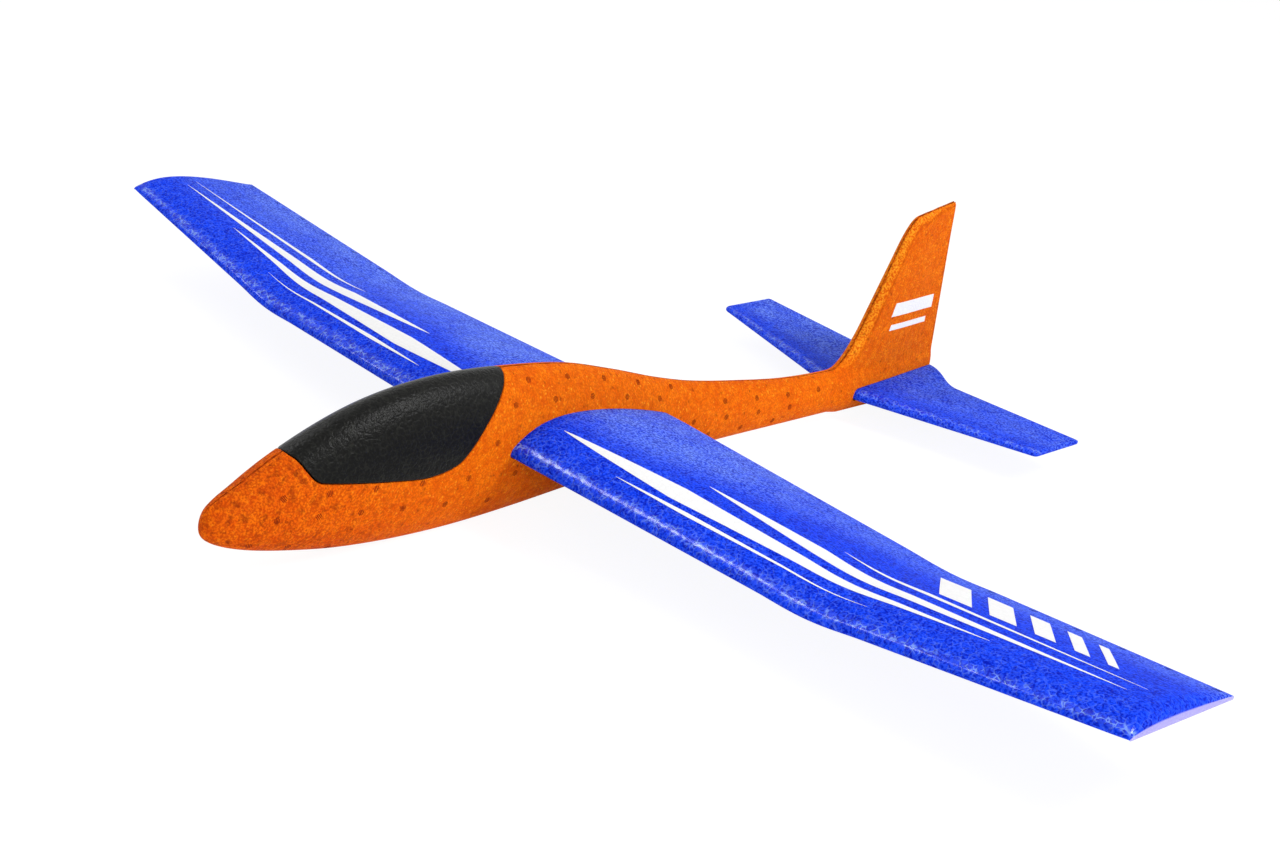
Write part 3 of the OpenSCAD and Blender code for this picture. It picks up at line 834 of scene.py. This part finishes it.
class GliderStage(PropertyGroup):
    """Camera, lamps and surround."""

    eye: FloatVectorProperty(name="Camera place", description="Where the camera stands",
                             size=3, subtype="XYZ", unit="LENGTH",
                             default=(0.56982, -0.65581, 0.37748))
    azimuth: angle("Azimuth", 40.659, "Turn of the camera round the glider")
    elevation: angle("Elevation", 22.180, "Height of the camera's view")
    roll: angle("Roll", 10.282, "Tilt of the picture")
    lens: number("Lens", 59.034, 10, 300, "Focal length on a 36 mm sensor", unit="CAMERA")
    sky: number("Surround", 0.46, 0, 2, "Strength of the white surround")
    key: number("Key lamp", 5.5, 0, 100, "Power of the lamp above the tail", unit="POWER")
    side: number("Strip lamp", 4.0, 0, 100, "Power of the strip lamp beyond the far wing",
                 unit="POWER")
    fill: number("Fill lamp", 7.0, 0, 100, "Power of the lamp beside the wing",
                 unit="POWER")


# ---- Operators --------------------------------------------------------------------


class GLIDER_OT_stage(Operator):
    """Floor, white surround, lamps and camera"""

    bl_idname = "glider.stage"
    bl_label = "Stage"

    # place, width and height of each lamp, by the setting that holds its power
    lamps = {"key": ((0.66, 0.37, 0.9), (0.3, 0.4)),
             "side": ((-0.72, -0.32, 0.95), (0.13, 0.95)),
             "fill": ((1.25, -0.7, 0.5), (0.7, 0.7))}
    floor_reach, floor_drop = 12, 0.0002
    floor_grey, floor_look, floor_glow = 0.9, 0.16, 0.92

    def execute(self, context):
        scene, stage = context.scene, context.scene.glider_stage
        scene.view_settings.view_transform = "Standard"
        self.camera(scene, stage)
        self.surround(scene, stage.sky)
        self.floor()
        for name, (place, size) in self.lamps.items():
            self.lamp(name + "_lamp", place, size, getattr(stage, name))
        return {"FINISHED"}

    def camera(self, scene, stage):
        a, e, r = stage.azimuth, stage.elevation, stage.roll
        back = Vector((math.sin(a) * math.cos(e), -math.cos(a) * math.cos(e), math.sin(e)))
        level = Vector((math.cos(a), math.sin(a), 0))
        right = level * math.cos(r) + back.cross(level) * math.sin(r)
        turn = Matrix((right, back.cross(right), back)).transposed()
        data = bpy.data.cameras.new("photo_camera")
        data.sensor_fit, data.sensor_width, data.lens = "AUTO", 36, stage.lens
        data.clip_start, data.clip_end = 0.01, 50
        scene.camera = linked("photo_camera", data)
        scene.camera.matrix_world = Matrix.Translation(stage.eye) @ turn.to_4x4()
        bpy.context.view_layer.update()

    def surround(self, scene, strength):
        """A white surround whose light on the glider is weaker than its own look."""
        scene.world = bpy.data.worlds.new("white_surround")
        scene.world.use_nodes = True
        g = Graph(scene.world.node_tree)
        white = {"Color": (1, 1, 1, 1)}
        lights = g.add("ShaderNodeBackground", {}, {**white, "Strength": strength})
        looks = g.add("ShaderNodeBackground", {}, white)
        g.add("ShaderNodeOutputWorld", {}, {"Surface": g.look_apart(looks, lights)})

    def floor(self):
        mesh = bpy.data.meshes.new("floor")
        corners = [(x * self.floor_reach, y * self.floor_reach, -self.floor_drop)
                   for x, y in ((-1, -1), (1, -1), (1, 1), (-1, 1))]
        mesh.from_pydata(corners, [], [(0, 1, 2, 3)])
        f = Finish("white_floor")
        lights, faint = (f.add("ShaderNodeBsdfDiffuse", {}, {"Color": (grey, grey, grey, 1)})
                         for grey in (self.floor_grey, self.floor_look))
        glow = f.add("ShaderNodeEmission", {}, {"Strength": self.floor_glow})
        looks = f.add("ShaderNodeAddShader", {}, {0: faint, 1: glow})
        mesh.materials.append(f.surface(f.look_apart(looks, lights)))
        floor = linked("floor", mesh)
        floor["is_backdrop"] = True

    def lamp(self, name, place, size, power):
        """A soft box that faces the glider."""
        data = bpy.data.lights.new(name, "AREA")
        data.shape, data.energy = "RECTANGLE", power
        data.size, data.size_y = size
        box = linked(name, data)
        box.location = place
        box.rotation_mode = "QUATERNION"
        box.rotation_quaternion = Vector(place).to_track_quat("Z", "Y")


class GLIDER_OT_fuselage(Operator):
    """Both glued fuselage halves with the fin, the canopy's seat and the sockets"""

    bl_idname = "glider.fuselage"
    bl_label = "Fuselage halves"

    # start and step of each run of rings: close together where an edge turns
    spans = ((0.05, 0.1), (0.6, 0.3), (3, 0.6), (10, 1.1), (33.5, 0.35), (45, 1.2),
             (112, 0.35), (143.5, 1.2), (362, 0.7), (FIN_FOOT - 14, 0.3), (FIN_FOOT, 0))
    # least half width of a ring, how dark the painted shade at the joint line's edge is, and
    # the stations between which the foam turns darker towards the nose, as mottled wear and as
    # painted shade
    thinnest, groove_gap, worn_from, worn_to = 0.01, 0.85, 115, 25
    # width of the painted highlight on the fin's rounded edge at its front and rear, and how
    # far before its foot it narrows; width, place and strength of the painted shadow line
    # inside it
    border_front, border_rear, border_narrows = 3.4, 1.2, (-34, -18)
    border_blur, line_inside, line_width, line_strength = 1.2, 0.6, 0.7, 0.4

    def execute(self, context):
        left = self.half("fuselage_shell_left", context.scene.glider_detail)
        dress_pair(left, "fuselage_shell_right", ("fuselage", "fuselage"),
                   shared(orange_foam),
                   ("fuselage_left_half", "fuselage_right_half"))
        return {"FINISHED"}

    def half(self, name, detail):
        edge, rows = canopy_edge(SEAT_GAP), cosine(70)
        rings, gap_shades, worn, lit = [], [], [], []
        for s in graded(*self.spans):
            low, high = keel(s), top_line(s)
            top = min(high, edge(s))
            z = lerp(low, top, rows)
            x = np.maximum(side_at(s, z), self.thinnest)
            wander, waver = (noise.noise(Vector(at)) for at in ((s * 0.35, 0, 0),
                                                                (s * 0.2, 5, 0)))
            depth = detail.seam_depth * (1 + 0.6 * wander)
            width = min(detail.seam_width * (1 + 0.5 * waver), x[1] * 0.6)
            if top < high - 1e-6:
                inset = 1 - rounded((top - z) / stretch(edge, s) / detail.lip)
                x = np.maximum(x - detail.lip * inset, self.thinnest)
                head, head_shade = [(x[-1], top), (0, top)], (1, 1)
            else:
                head, head_shade = [(width, top), (0, top - depth)], (self.groove_gap, 1)
            foot = [(0, low + depth), (width, low)]
            side = list(zip(x[1:-1], z[1:-1]))
            # painted highlight on the fin's edge, and the painted shadow line inside it
            edge_highlight, line = self.fin_border(s, z[1:-1])
            rings.append(np.array([(a, s - MIDDLE, max(b, 0)) for a, b in foot + side + head]))
            # the gap mark is painted shade in the joint groove, the canopy's recess and the
            # line inside the fin's edge
            gap_shades.append(np.concatenate([(1, self.groove_gap), line, head_shade]))
            # mottled wear towards the nose, and painted shade that darkens it
            worn.append(np.full(len(rings[-1]), fade(s, self.worn_from, self.worn_to)))
            lit.append(np.concatenate([(0, 0), edge_highlight, (0, 0)]))
        piece = loft(name, rings, {"gap": gap_shades, "worn": worn, "lit": lit})
        return carved(piece, self.wing_socket(), self.tail_slot())

    def fin_border(self, s, z):
        """How much painted highlight the points of a station get on the rounded edge of the
        fin, and how much painted shadow on the line that runs along its inner side."""
        inset = below_top(s, z)
        width = lerp(self.border_front, self.border_rear,
                     fade(s - FIN_FOOT, *self.border_narrows))
        on_fin = fade(z - CROWN_LINE, 1, 9) * fade(s - FIN_START, -8, 0)
        off_shadow_line = (inset - width - self.line_inside) / self.line_width
        return (on_fin * fade(inset, width, width - self.border_blur),
                on_fin * self.line_strength * np.exp(-off_shadow_line ** 2))

    def wing_socket(self):
        u, gap = cosine(40), SEAT_GAP
        stations = WING_START - gap + (CHORDS[0] + 2 * gap) * u
        fall, thick = WING_HEIGHT - gap - ROOT_PITCH * u, ROOT_THICK + gap
        top = list(zip(stations, fall + foil_top(u, thick) + gap * u))
        bottom = list(zip(stations, fall + foil_bottom(u, thick)))
        return prism("socket_cutter", top[::-1] + bottom[1:], SOCKET_WEB / 2, CABIN_WIDTH)

    def tail_slot(self):
        radius, end = (SLOT_TOP - SLOT_BOTTOM) / 2, LENGTH + 5
        nose = circle(TAIL_START - SEAT_GAP + radius, TAIL_HEIGHT, radius,
                      np.linspace(90, 270, 13))
        return prism("slot_cutter", nose + [(end, SLOT_BOTTOM), (end, SLOT_TOP)], -1,
                     BOOM_WIDTH)


class GLIDER_OT_canopy(Operator):
    """Foam canopy that is let into the nose"""

    bl_idname = "glider.canopy"
    bl_label = "Canopy"

    spans = ((CANOPY_FRONT + 0.1, 0.25), (CANOPY_FRONT + 12, 1.2), (CANOPY_REAR - 30, 0.35),
             (CANOPY_REAR - 0.1, 0))

    def execute(self, context):
        edge, rows, lip = canopy_edge(0), cosine(56), context.scene.glider_detail.lip
        rings, gap_shades = [], []
        for s in graded(*self.spans):
            high = crown(s)
            low = min(edge(s), high - 0.02)
            z = lerp(low, high, rows)
            away = (z - low) / stretch(edge, s) / lip
            x = np.maximum(body_half(s, z) - lip * (1 - rounded(away)), 0)
            x[-1] = 0
            left = [(a, s - MIDDLE, b) for a, b in zip(x, z)]
            right = [(-a, y, b) for a, y, b in left[-2::-1]]
            rings.append(np.array([(0, s - MIDDLE, low)] + left + right))
            # painted shade along the lip where the canopy meets its recess, and at its seam
            # below
            gap = fade(away, 0.5, 0)
            gap_shades.append(np.concatenate([[1], gap, gap[-2::-1]]))
        piece = loft("canopy_shell", rings, {"gap": gap_shades})
        dress(piece, "fuselage", shared(black_foam), "canopy")
        return {"FINISHED"}


class GLIDER_OT_wings(Operator):
    """Both wing panels with their bores for the sleeves"""

    bl_idname = "glider.wings"
    bl_label = "Wing panels"

    # rounding of the rear edge, depth of the paler face at the tip, width of the parting
    # ridge, and the place and width of the gloss and the painted highlight as chord shares
    rear_round, cut_depth, ridge_width = 0.6, 0.06, 0.22
    shine_at, shine_width = 0.03, 0.032

    def execute(self, context):
        left = self.panel("wing_panel_left", context.scene.glider_detail)
        right = dress_pair(left, "wing_panel_right", WINGS, shared(blue_foam),
                           ("wing_left", "wing_right"))
        # the right wing keeps the stronger painted sheen
        for piece, kept, dropped in ((left, "sheen", "pale_sheen"),
                                     (right, "pale_sheen", "sheen")):
            marks = piece.data.attributes
            marks.remove(marks[dropped])
            marks[kept].name = "sheen"
        return {"FINISHED"}

    def panel(self, name, detail):
        u = cosine(54)
        share = np.concatenate([u[::-1], u[1:]])
        on_top = np.arange(len(share)) < len(u)
        rings, marks = [], {}
        for x in np.concatenate([graded((PANEL_ROOT, 1.6), (TIP - TIP_ROUND, 0)),
                                 to_round_end(TIP, TIP_ROUND, 5, 22)]):
            front, chord, height, pitch, thick = wing_frame(x)
            trim = self.rear_round * (1 - rounded((1 - u) * chord / self.rear_round))
            top, bottom = foil_top(u, thick) - trim, foil_bottom(u, thick) + trim
            z = np.concatenate([top[::-1], bottom[1:]])
            off_lip = (z - LIP * thick) / self.ridge_width
            ridge = detail.ridge * np.exp(-off_lip ** 2) * (share < 0.01)
            rings.append(np.column_stack([np.full(len(z), x),
                                          front + chord * share - MIDDLE - ridge,
                                          height - pitch * share + z]))
            for mark, values in self.foam_marks(x, share, on_top).items():
                marks.setdefault(mark, []).append(values)
        return carved(loft(name, rings, marks), self.bore())

    def foam_marks(self, x, share, on_top):
        """Where the foam at a reach has clear beads, a painted sheen, gloss with a painted
        highlight, and its paler end face. The painted sheen starts further forward at the
        root, and the right wing has more of it."""
        sheen_from = lerp(0.2, 0.62, fade(x, 30, 180))
        sheen = fade(share, sheen_from, sheen_from + 0.35) * lerp(1, 0.7, fade(x, 60, 120))
        # more painted sheen for the right wing
        more = fade(share, 0.12, 0.62) * 0.6 * fade(x, 60, 180)
        return {"nose": fade(share, 0.4, 0), "sheen": sheen,
                "pale_sheen": np.minimum(sheen + more, 1),
                "shine": fade(abs(share - self.shine_at), self.shine_width, 0) * on_top,
                "cut": np.full(len(share), float(x > TIP - self.cut_depth))}

    def bore(self):
        ring = circle(WING_START + JOINER_SETBACK, WING_HEIGHT + ROOT_THICK * JOINER_SHARE,
                      JOINER_D / 2 + RUN_GAP + SLEEVE_WALL, np.arange(0, 360, 10))
        return prism("bore_cutter", ring, 0, PANEL_ROOT + SLEEVE_LENGTH)


class GLIDER_OT_tailplane(Operator):
    """Tailplane with its rear fairing"""

    bl_idname = "glider.tailplane"
    bl_label = "Tailplane"

    half = TAIL_SPAN / 2

    def execute(self, context):
        side = np.concatenate([graded((0, 1.1), (self.half - TAIL_CORNER, 0)),
                               to_round_end(self.half, TAIL_CORNER, 8, 12)])
        u = cosine(46)
        share = np.concatenate([u[::-1], u[1:]])
        on_top = np.arange(len(share)) < len(u)
        reaches = np.concatenate([-side[:0:-1], side])
        count = len(reaches)
        # the right half has more of the painted sheen
        sheens = [0.1 + lerp(0.4, 0.75, fade(x, 0, -20)) * fade(share, 0.1, 0.5)
                  for x in reaches]
        piece = loft("tailplane_panel", [self.section(x, u) for x in reaches], {
            "nose": [fade(share, 0.3, 0) * 0.6] * count, "sheen": sheens,
            "shine": [fade(abs(share - 0.04), 0.05, 0) * 0.8 * on_top] * count})
        dress(piece, "tail", shared(blue_foam), "tailplane")
        return {"FINISHED"}

    def section(self, x, u):
        reach = abs(x)
        share = np.clip((reach - TAIL_ROOT) / (self.half - TAIL_ROOT), 0, 1)
        into = np.clip((reach - self.half + TAIL_CORNER) / TAIL_CORNER, 0, 1)
        close = math.sqrt(1 - into * into)
        corner = TAIL_CORNER * (1 - close)
        front = TAIL_START + TAIL_SWEEP * share + corner
        bulge = (1 + math.cos(math.pi * min(reach / FAIRING_REACH, 1))) / 2
        rear = lerp(TAIL_START + TAIL_CHORD, LENGTH, bulge)
        hub = fade(reach, FAIRING_REACH, TAIL_ROOT)
        thick = lerp(TAIL_THICK, TAIL_TIP_THICK, share) / 2 * lerp(0.3, 1, close)
        edge = lerp(min(TAIL_EDGE / 2, thick), thick, hub)
        mid, chord = TAIL_HEIGHT + TAIL_RISE * share, rear - corner / 2 - front
        deep = (lerp(thick, edge, u ** 1.5) * rounded(u * chord / (thick * 1.8))
                * lerp(0.25, 1, rounded((1 - u) * chord / (edge * 1.2))))
        top, bottom = (np.column_stack([np.full(len(u), x), front + u * chord - MIDDLE, z])
                       for z in (mid + deep, mid - deep))
        return np.concatenate([top[::-1], bottom[1:]])


def film_sheet(name, patches, thickness):
    """Thin film over a surface. Each patch is a grid of (point, outward) pairs in
    millimetres."""
    mesh = bpy.data.meshes.new(name)
    points, faces = [], []
    for grid in patches:
        faces += grid_faces(len(grid), len(grid[0]), len(points))
        points += [(p + away * thickness * 0.8) * MM for row in grid for p, away in row]
    mesh.from_pydata(points, [], faces)
    piece = linked(name, mesh)
    shell = piece.modifiers.new("shell", "SOLIDIFY")
    shell.thickness, shell.offset = thickness * MM, -1
    cleaned(baked(piece).data)
    return piece


class GLIDER_OT_stripes(Operator):
    """Plain white stripes and bars printed on the wing, and bars on the fin"""

    bl_idname = "glider.stripes"
    bl_label = "Printed stripes"

    # inner and outer reach, chord share at each, and greatest width as a chord share
    needles = [(24, 232, 0.20, 0.235, 0.105), (88, 284, 0.38, 0.30, 0.085),
               (150, 288, 0.48, 0.40, 0.03), (62, 186, 0.115, 0.135, 0.02)]
    # where along it a needle is widest, distance between its points, half width at a tip
    needle_widest, needle_pitch, needle_tip = 0.3, 1.5, 1e-4
    # inner reach and width of each bar across the outer panel
    bars = [(176, 15), (199, 12), (219, 9), (236, 6.5), (250, 4.5)]
    # chord shares at its ends, and how far outwards it leans for a whole chord
    bar_rear, bar_front, bar_slant = 0.80, 0.52, 60
    # lower and upper height of each bar on the fin, and chord share at both ends
    fin_bars = [(52, 59, 0.26, 0.86), (44.5, 47.5, 0.30, 0.80)]

    def execute(self, context):
        thickness, film = context.scene.glider_detail.film, shared(white_film)
        left = film_sheet("wing_stripes_left", [self.needle(*n) for n in self.needles],
                          thickness)
        dress_pair(left, "wing_stripes_right", WINGS, film)
        bars = film_sheet("wing_bars_left", [self.bar(*b) for b in self.bars], thickness)
        dress(bars, "left_wing", film)
        near = film_sheet("fin_bars_left", [self.fin_bar(*b) for b in self.fin_bars],
                          thickness)
        dress_pair(near, "fin_bars_right", ("fuselage", "fuselage"), film)
        return {"FINISHED"}

    def needle(self, inner, outer, start, end, width):
        """A stripe with a long point at each end, widest near its inner third."""
        def half_width(t):
            taper = 1 - max(t - self.needle_widest, 0) / (1 - self.needle_widest)
            return (width / 2 * min(t / self.needle_widest, 1) ** 0.8 * taper ** 0.9
                    + self.needle_tip)

        ts = np.linspace(0, 1, int((outer - inner) / self.needle_pitch))
        return [[wing_skin(lerp(inner, outer, t), lerp(start, end, t) + across * half_width(t))
                 for t in ts] for across in np.linspace(1, -1, 6)]

    def bar(self, inner, width):
        """A slanted bar across the rear of the outer panel."""
        return [[wing_skin(x + (self.bar_rear - share) * self.bar_slant, share)
                 for x in np.linspace(inner, inner + width, 9)]
                for share in np.linspace(self.bar_rear, self.bar_front, 22)]

    def fin_bar(self, low, high, front, rear):
        grid = []
        for z in np.linspace(low, high, 8):
            lead, trail = fin_ends((z - CROWN_LINE) / FIN_RISE)
            grid.append([fin_skin(lerp(lead, trail, t), z)
                         for t in np.linspace(front, rear, 30)])
        return grid


def vent_tree(material):
    """Geometry Nodes tree: a round mark of parallel slots on every point of a mesh."""
    tree = bpy.data.node_groups.new("vent_marks", "GeometryNodeTree")
    for name, kind in (("Geometry", "Geometry"), ("Diameter", "Float"),
                       ("Slot width", "Float"), ("Height", "Float"), ("Slots", "Int"),
                       ("Seed", "Int"), ("Turn", "Float")):
        tree.interface.new_socket(name, in_out="INPUT", socket_type="NodeSocket" + kind)
    tree.interface.new_socket("Geometry", in_out="OUTPUT", socket_type="NodeSocketGeometry")
    g = Graph(tree)
    given = g.add("NodeGroupInput")
    diameter, slots = given.of("Diameter"), given.of("Slots")

    def vector(x=0.0, y=0.0, z=0.0):
        return g.add("ShaderNodeCombineXYZ", {}, {"X": x, "Y": y, "Z": z})

    pitch = diameter / slots
    line = g.add("GeometryNodeMeshLine", {"mode": "OFFSET"}, {
        "Count": slots, "Start Location": vector(y=(slots - 1) * (pitch * -0.5)),
        "Offset": vector(y=pitch)})
    slot = g.add("GeometryNodeMeshCube", {}, {
        "Size": vector(diameter, given.of("Slot width"), given.of("Height"))})
    across = g.add("ShaderNodeSeparateXYZ", {}, {
        0: g.add("GeometryNodeInputPosition")}).of("Y")
    share = across * 2.0 / diameter
    length = g.math("SQRT", 1.0 - share * share)
    mark = g.add("GeometryNodeRealizeInstances", {}, {
        "Geometry": g.add("GeometryNodeInstanceOnPoints", {}, {
            "Points": line, "Instance": slot, "Scale": vector(length, 1.0, 1.0)})})
    outward = g.add("GeometryNodeInputNamedAttribute", {"data_type": "FLOAT_VECTOR"},
                    {"Name": "outward"}).of("Attribute")
    upright = g.add("FunctionNodeAlignRotationToVector", {"axis": "Z"}, {"Vector": outward})
    wander = g.add("FunctionNodeRandomValue", {"data_type": "FLOAT"},
                   {2: -0.5, 3: 0.5, "Seed": given.of("Seed")}, 1)
    spin = g.add("FunctionNodeAxisAngleToRotation", {},
                 {"Axis": (0, 0, 1), "Angle": wander * given.of("Turn")})
    turned = g.add("FunctionNodeRotateRotation", {"rotation_space": "LOCAL"},
                   {"Rotation": upright, "Rotate By": spin})
    marks = g.add("GeometryNodeInstanceOnPoints", {}, {
        "Points": given.of("Geometry"), "Instance": mark, "Rotation": turned})
    real = g.add("GeometryNodeRealizeInstances", {}, {"Geometry": marks})
    coated = g.add("GeometryNodeSetMaterial", {}, {"Geometry": real, "Material": material})
    g.add("NodeGroupOutput", {}, {0: coated})
    return tree


def vent_piece(name, tree, places, sizes):
    """A piece of vent marks on (place, outward) pairs."""
    mesh = bpy.data.meshes.new(name)
    mesh.from_pydata([tuple(place) for place, _ in places], [], [])
    outward = mesh.attributes.new("outward", "FLOAT_VECTOR", "POINT")
    outward.data.foreach_set("vector", [c for _, away in places for c in away])
    piece = linked(name, mesh)
    marks = piece.modifiers.new("marks", "NODES")
    marks.node_group = tree
    for item in tree.interface.items_tree:
        if item.in_out == "INPUT" and item.name in sizes:
            marks[item.identifier] = sizes[item.name]
    return baked(piece)


class GLIDER_OT_vents(Operator):
    """Marks of the mould's steam vents on the fuselage and along the wing's rear edge"""

    bl_idname = "glider.vents"
    bl_label = "Vent marks"

    photo_rows = {"upper": 6, "lower": 6, "belly": 3}
    # height share, first station and count of each row from the shoulder back
    boom_rows = ((0.94, 153, 5), (0.81, 143, 5), (0.76, 284, 4), (0.5, 262, 4),
                 (0.25, 275, 3))
    body_mark = {"Slot width": 0.32 * MM, "Height": 0.16 * MM, "Slots": 4, "Seed": 3,
                 "Turn": 1.2}
    edge_mark = {"Diameter": 3.4 * MM, "Slot width": 0.45 * MM, "Height": 0.14 * MM,
                 "Slots": 2, "Seed": 5, "Turn": 0.0}

    def execute(self, context):
        detail, look = context.scene.glider_detail, context.scene.glider_look
        picture = Picture(context.scene.camera)
        # vent marks: painted shade of their slots
        shaded_brown = vent_slots("orange_vent", scaled(look.orange_dark, 0.4))
        shaded_navy = vent_slots("blue_vent", scaled(look.blue_dark, 0.25))
        tree = vent_tree(shaded_brown)
        body = vent_piece("vent_marks_fuselage", tree, self.body_places(picture, detail),
                          {"Diameter": detail.vent * MM, **self.body_mark})
        dress(body, "fuselage", shaded_brown)
        left = vent_piece("vent_marks_left_wing", tree,
                          self.edge_places(picture, detail.vent_pitch), self.edge_mark)
        dress_pair(left, "vent_marks_right_wing", WINGS, shaded_navy)
        return {"FINISHED"}

    def body_places(self, picture, detail):
        """Rows through the places seen in the photograph, then along the boom, and all of
        them mirrored."""
        body = surface_of(*(bpy.data.objects["fuselage_shell_" + side]
                            for side in ("left", "right")))
        places = []
        for row, count in self.photo_rows.items():
            start, end = (np.array(POINTS[row + "_vents_" + at]) for at in ("front", "rear"))
            places += [picture.landing(body, *lerp(start, end, t))
                       for t in np.linspace(0, 1, count)]
        places.append(picture.landing(body, *POINTS["cheek_vent"]))
        for share, start, count in self.boom_rows:
            for s in start + detail.row_pitch * np.arange(count):
                near = side_point(s, lerp(keel(s), crown(s), share))
                places.append(body.find_nearest(near * MM)[:2])
        flip = Vector((-1, 1, 1))
        return places + [(place * flip, away * flip) for place, away in places]

    def edge_places(self, picture, pitch):
        """A row along the rear edge of the outer wing, inwards from the one seen best."""
        wing = surface_of(bpy.data.objects["wing_panel_left"])
        outer, _ = picture.landing(wing, *POINTS["edge_vents_rear"])
        reach = outer.x / MM
        front, chord, *_ = wing_frame(reach)
        share = (outer.y / MM + MIDDLE - front) / chord
        places = []
        while reach > BEND + 10:
            here, away = wing_skin(reach, share)
            places.append((here * MM, away))
            reach -= pitch
        return places


class GLIDER_OT_fittings(Operator):
    """Rods, sleeves and nose weight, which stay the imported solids"""

    bl_idname = "glider.fittings"
    bl_label = "Fittings"

    def execute(self, context):
        fibre, steel, white = (0.72, 0.68, 0.45), (0.62, 0.62, 0.64), (0.85, 0.85, 0.84)
        joiner, boom = (
            plain_finish(name, fibre, 0.7, scales, 4.0, (0.32, 0.2), 2e-5, (0.35, 0.65))
            for name, scales in (("joiner_fibre", (160, 9000, 9000)),
                                 ("boom_fibre", (9000, 160, 9000))))
        turned = plain_finish("weight_steel", steel, 0.8, (200, 6000, 200), 3.0, (0.3, 0.2),
                              1e-5, Metallic=1.0)
        plastic = plain_finish("sleeve_plastic", white, 0.9, (1000 / 3,) * 3, 2.0,
                               (0.35, 0.1), 2e-5)
        for node, material in {"wing_joiner": joiner, "boom_rod": boom,
                               "nose_weight": turned, "spar_sleeve_left": plastic,
                               "spar_sleeve_right": plastic}.items():
            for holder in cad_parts[node].material_slots:
                holder.material = material
        return {"FINISHED"}


class GLIDER_PT_panel(Panel):
    """Lists the glider's pieces and settings"""

    bl_idname = "GLIDER_PT_panel"
    bl_label = "Foam glider"
    bl_space_type = "VIEW_3D"
    bl_region_type = "UI"
    bl_category = "Glider"

    def draw(self, context):
        for step in STEPS:
            self.layout.operator(step.bl_idname)
        for group in SETTINGS:
            box, settings = self.layout.box(), getattr(context.scene, group)
            for name in SETTINGS[group].__annotations__:
                box.prop(settings, name)


STEPS = (GLIDER_OT_stage, GLIDER_OT_fuselage, GLIDER_OT_canopy, GLIDER_OT_wings,
         GLIDER_OT_tailplane, GLIDER_OT_stripes, GLIDER_OT_vents, GLIDER_OT_fittings)
SETTINGS = {"glider_look": GliderLook, "glider_detail": GliderDetail,
            "glider_stage": GliderStage}


def register():
    for name, group in SETTINGS.items():
        bpy.utils.register_class(group)
        setattr(bpy.types.Scene, name, PointerProperty(type=group))
    for step in (*STEPS, GLIDER_PT_panel):
        bpy.utils.register_class(step)


def unregister():
    for step in (GLIDER_PT_panel, *reversed(STEPS)):
        bpy.utils.unregister_class(step)
    for name, group in SETTINGS.items():
        delattr(bpy.types.Scene, name)
        bpy.utils.unregister_class(group)


# ---- Where things show --------------------------------------------------------------

# A vertex is hidden if something lies nearer by this much, in metres, and a vent mark
# shows as vertices within this many pixels of its point
HIDDEN_BY, MARK_REACH = 0.0012, 7


def visible_points(picture, piece, tree):
    """The photograph's x and y of the vertices of a piece that show."""
    found = []
    for vertex in piece.data.vertices:
        aim = vertex.co - picture.eye
        hit, _, _, distance = tree.ray_cast(picture.eye, aim.normalized())
        if hit is None or distance > aim.length - HIDDEN_BY:
            found.append(picture.shown(vertex.co))
    return np.array(found)


def measure_points():
    """Finds where the vertices of each shown piece that show lie in the photograph."""
    bpy.context.view_layer.update()
    picture = Picture(bpy.context.scene.camera)
    pieces = {o.name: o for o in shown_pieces() if o.type == "MESH"}
    tree = surface_of(*pieces.values())
    seen = {name: visible_points(picture, piece, tree) for name, piece in pieces.items()}


def main():
    register()
    for step in STEPS:
        group, name = step.bl_idname.split(".")
        getattr(getattr(bpy.ops, group), name)()
    measure_points()
    bpy.context.view_layer.update()


if __name__ == "__main__":
    main()
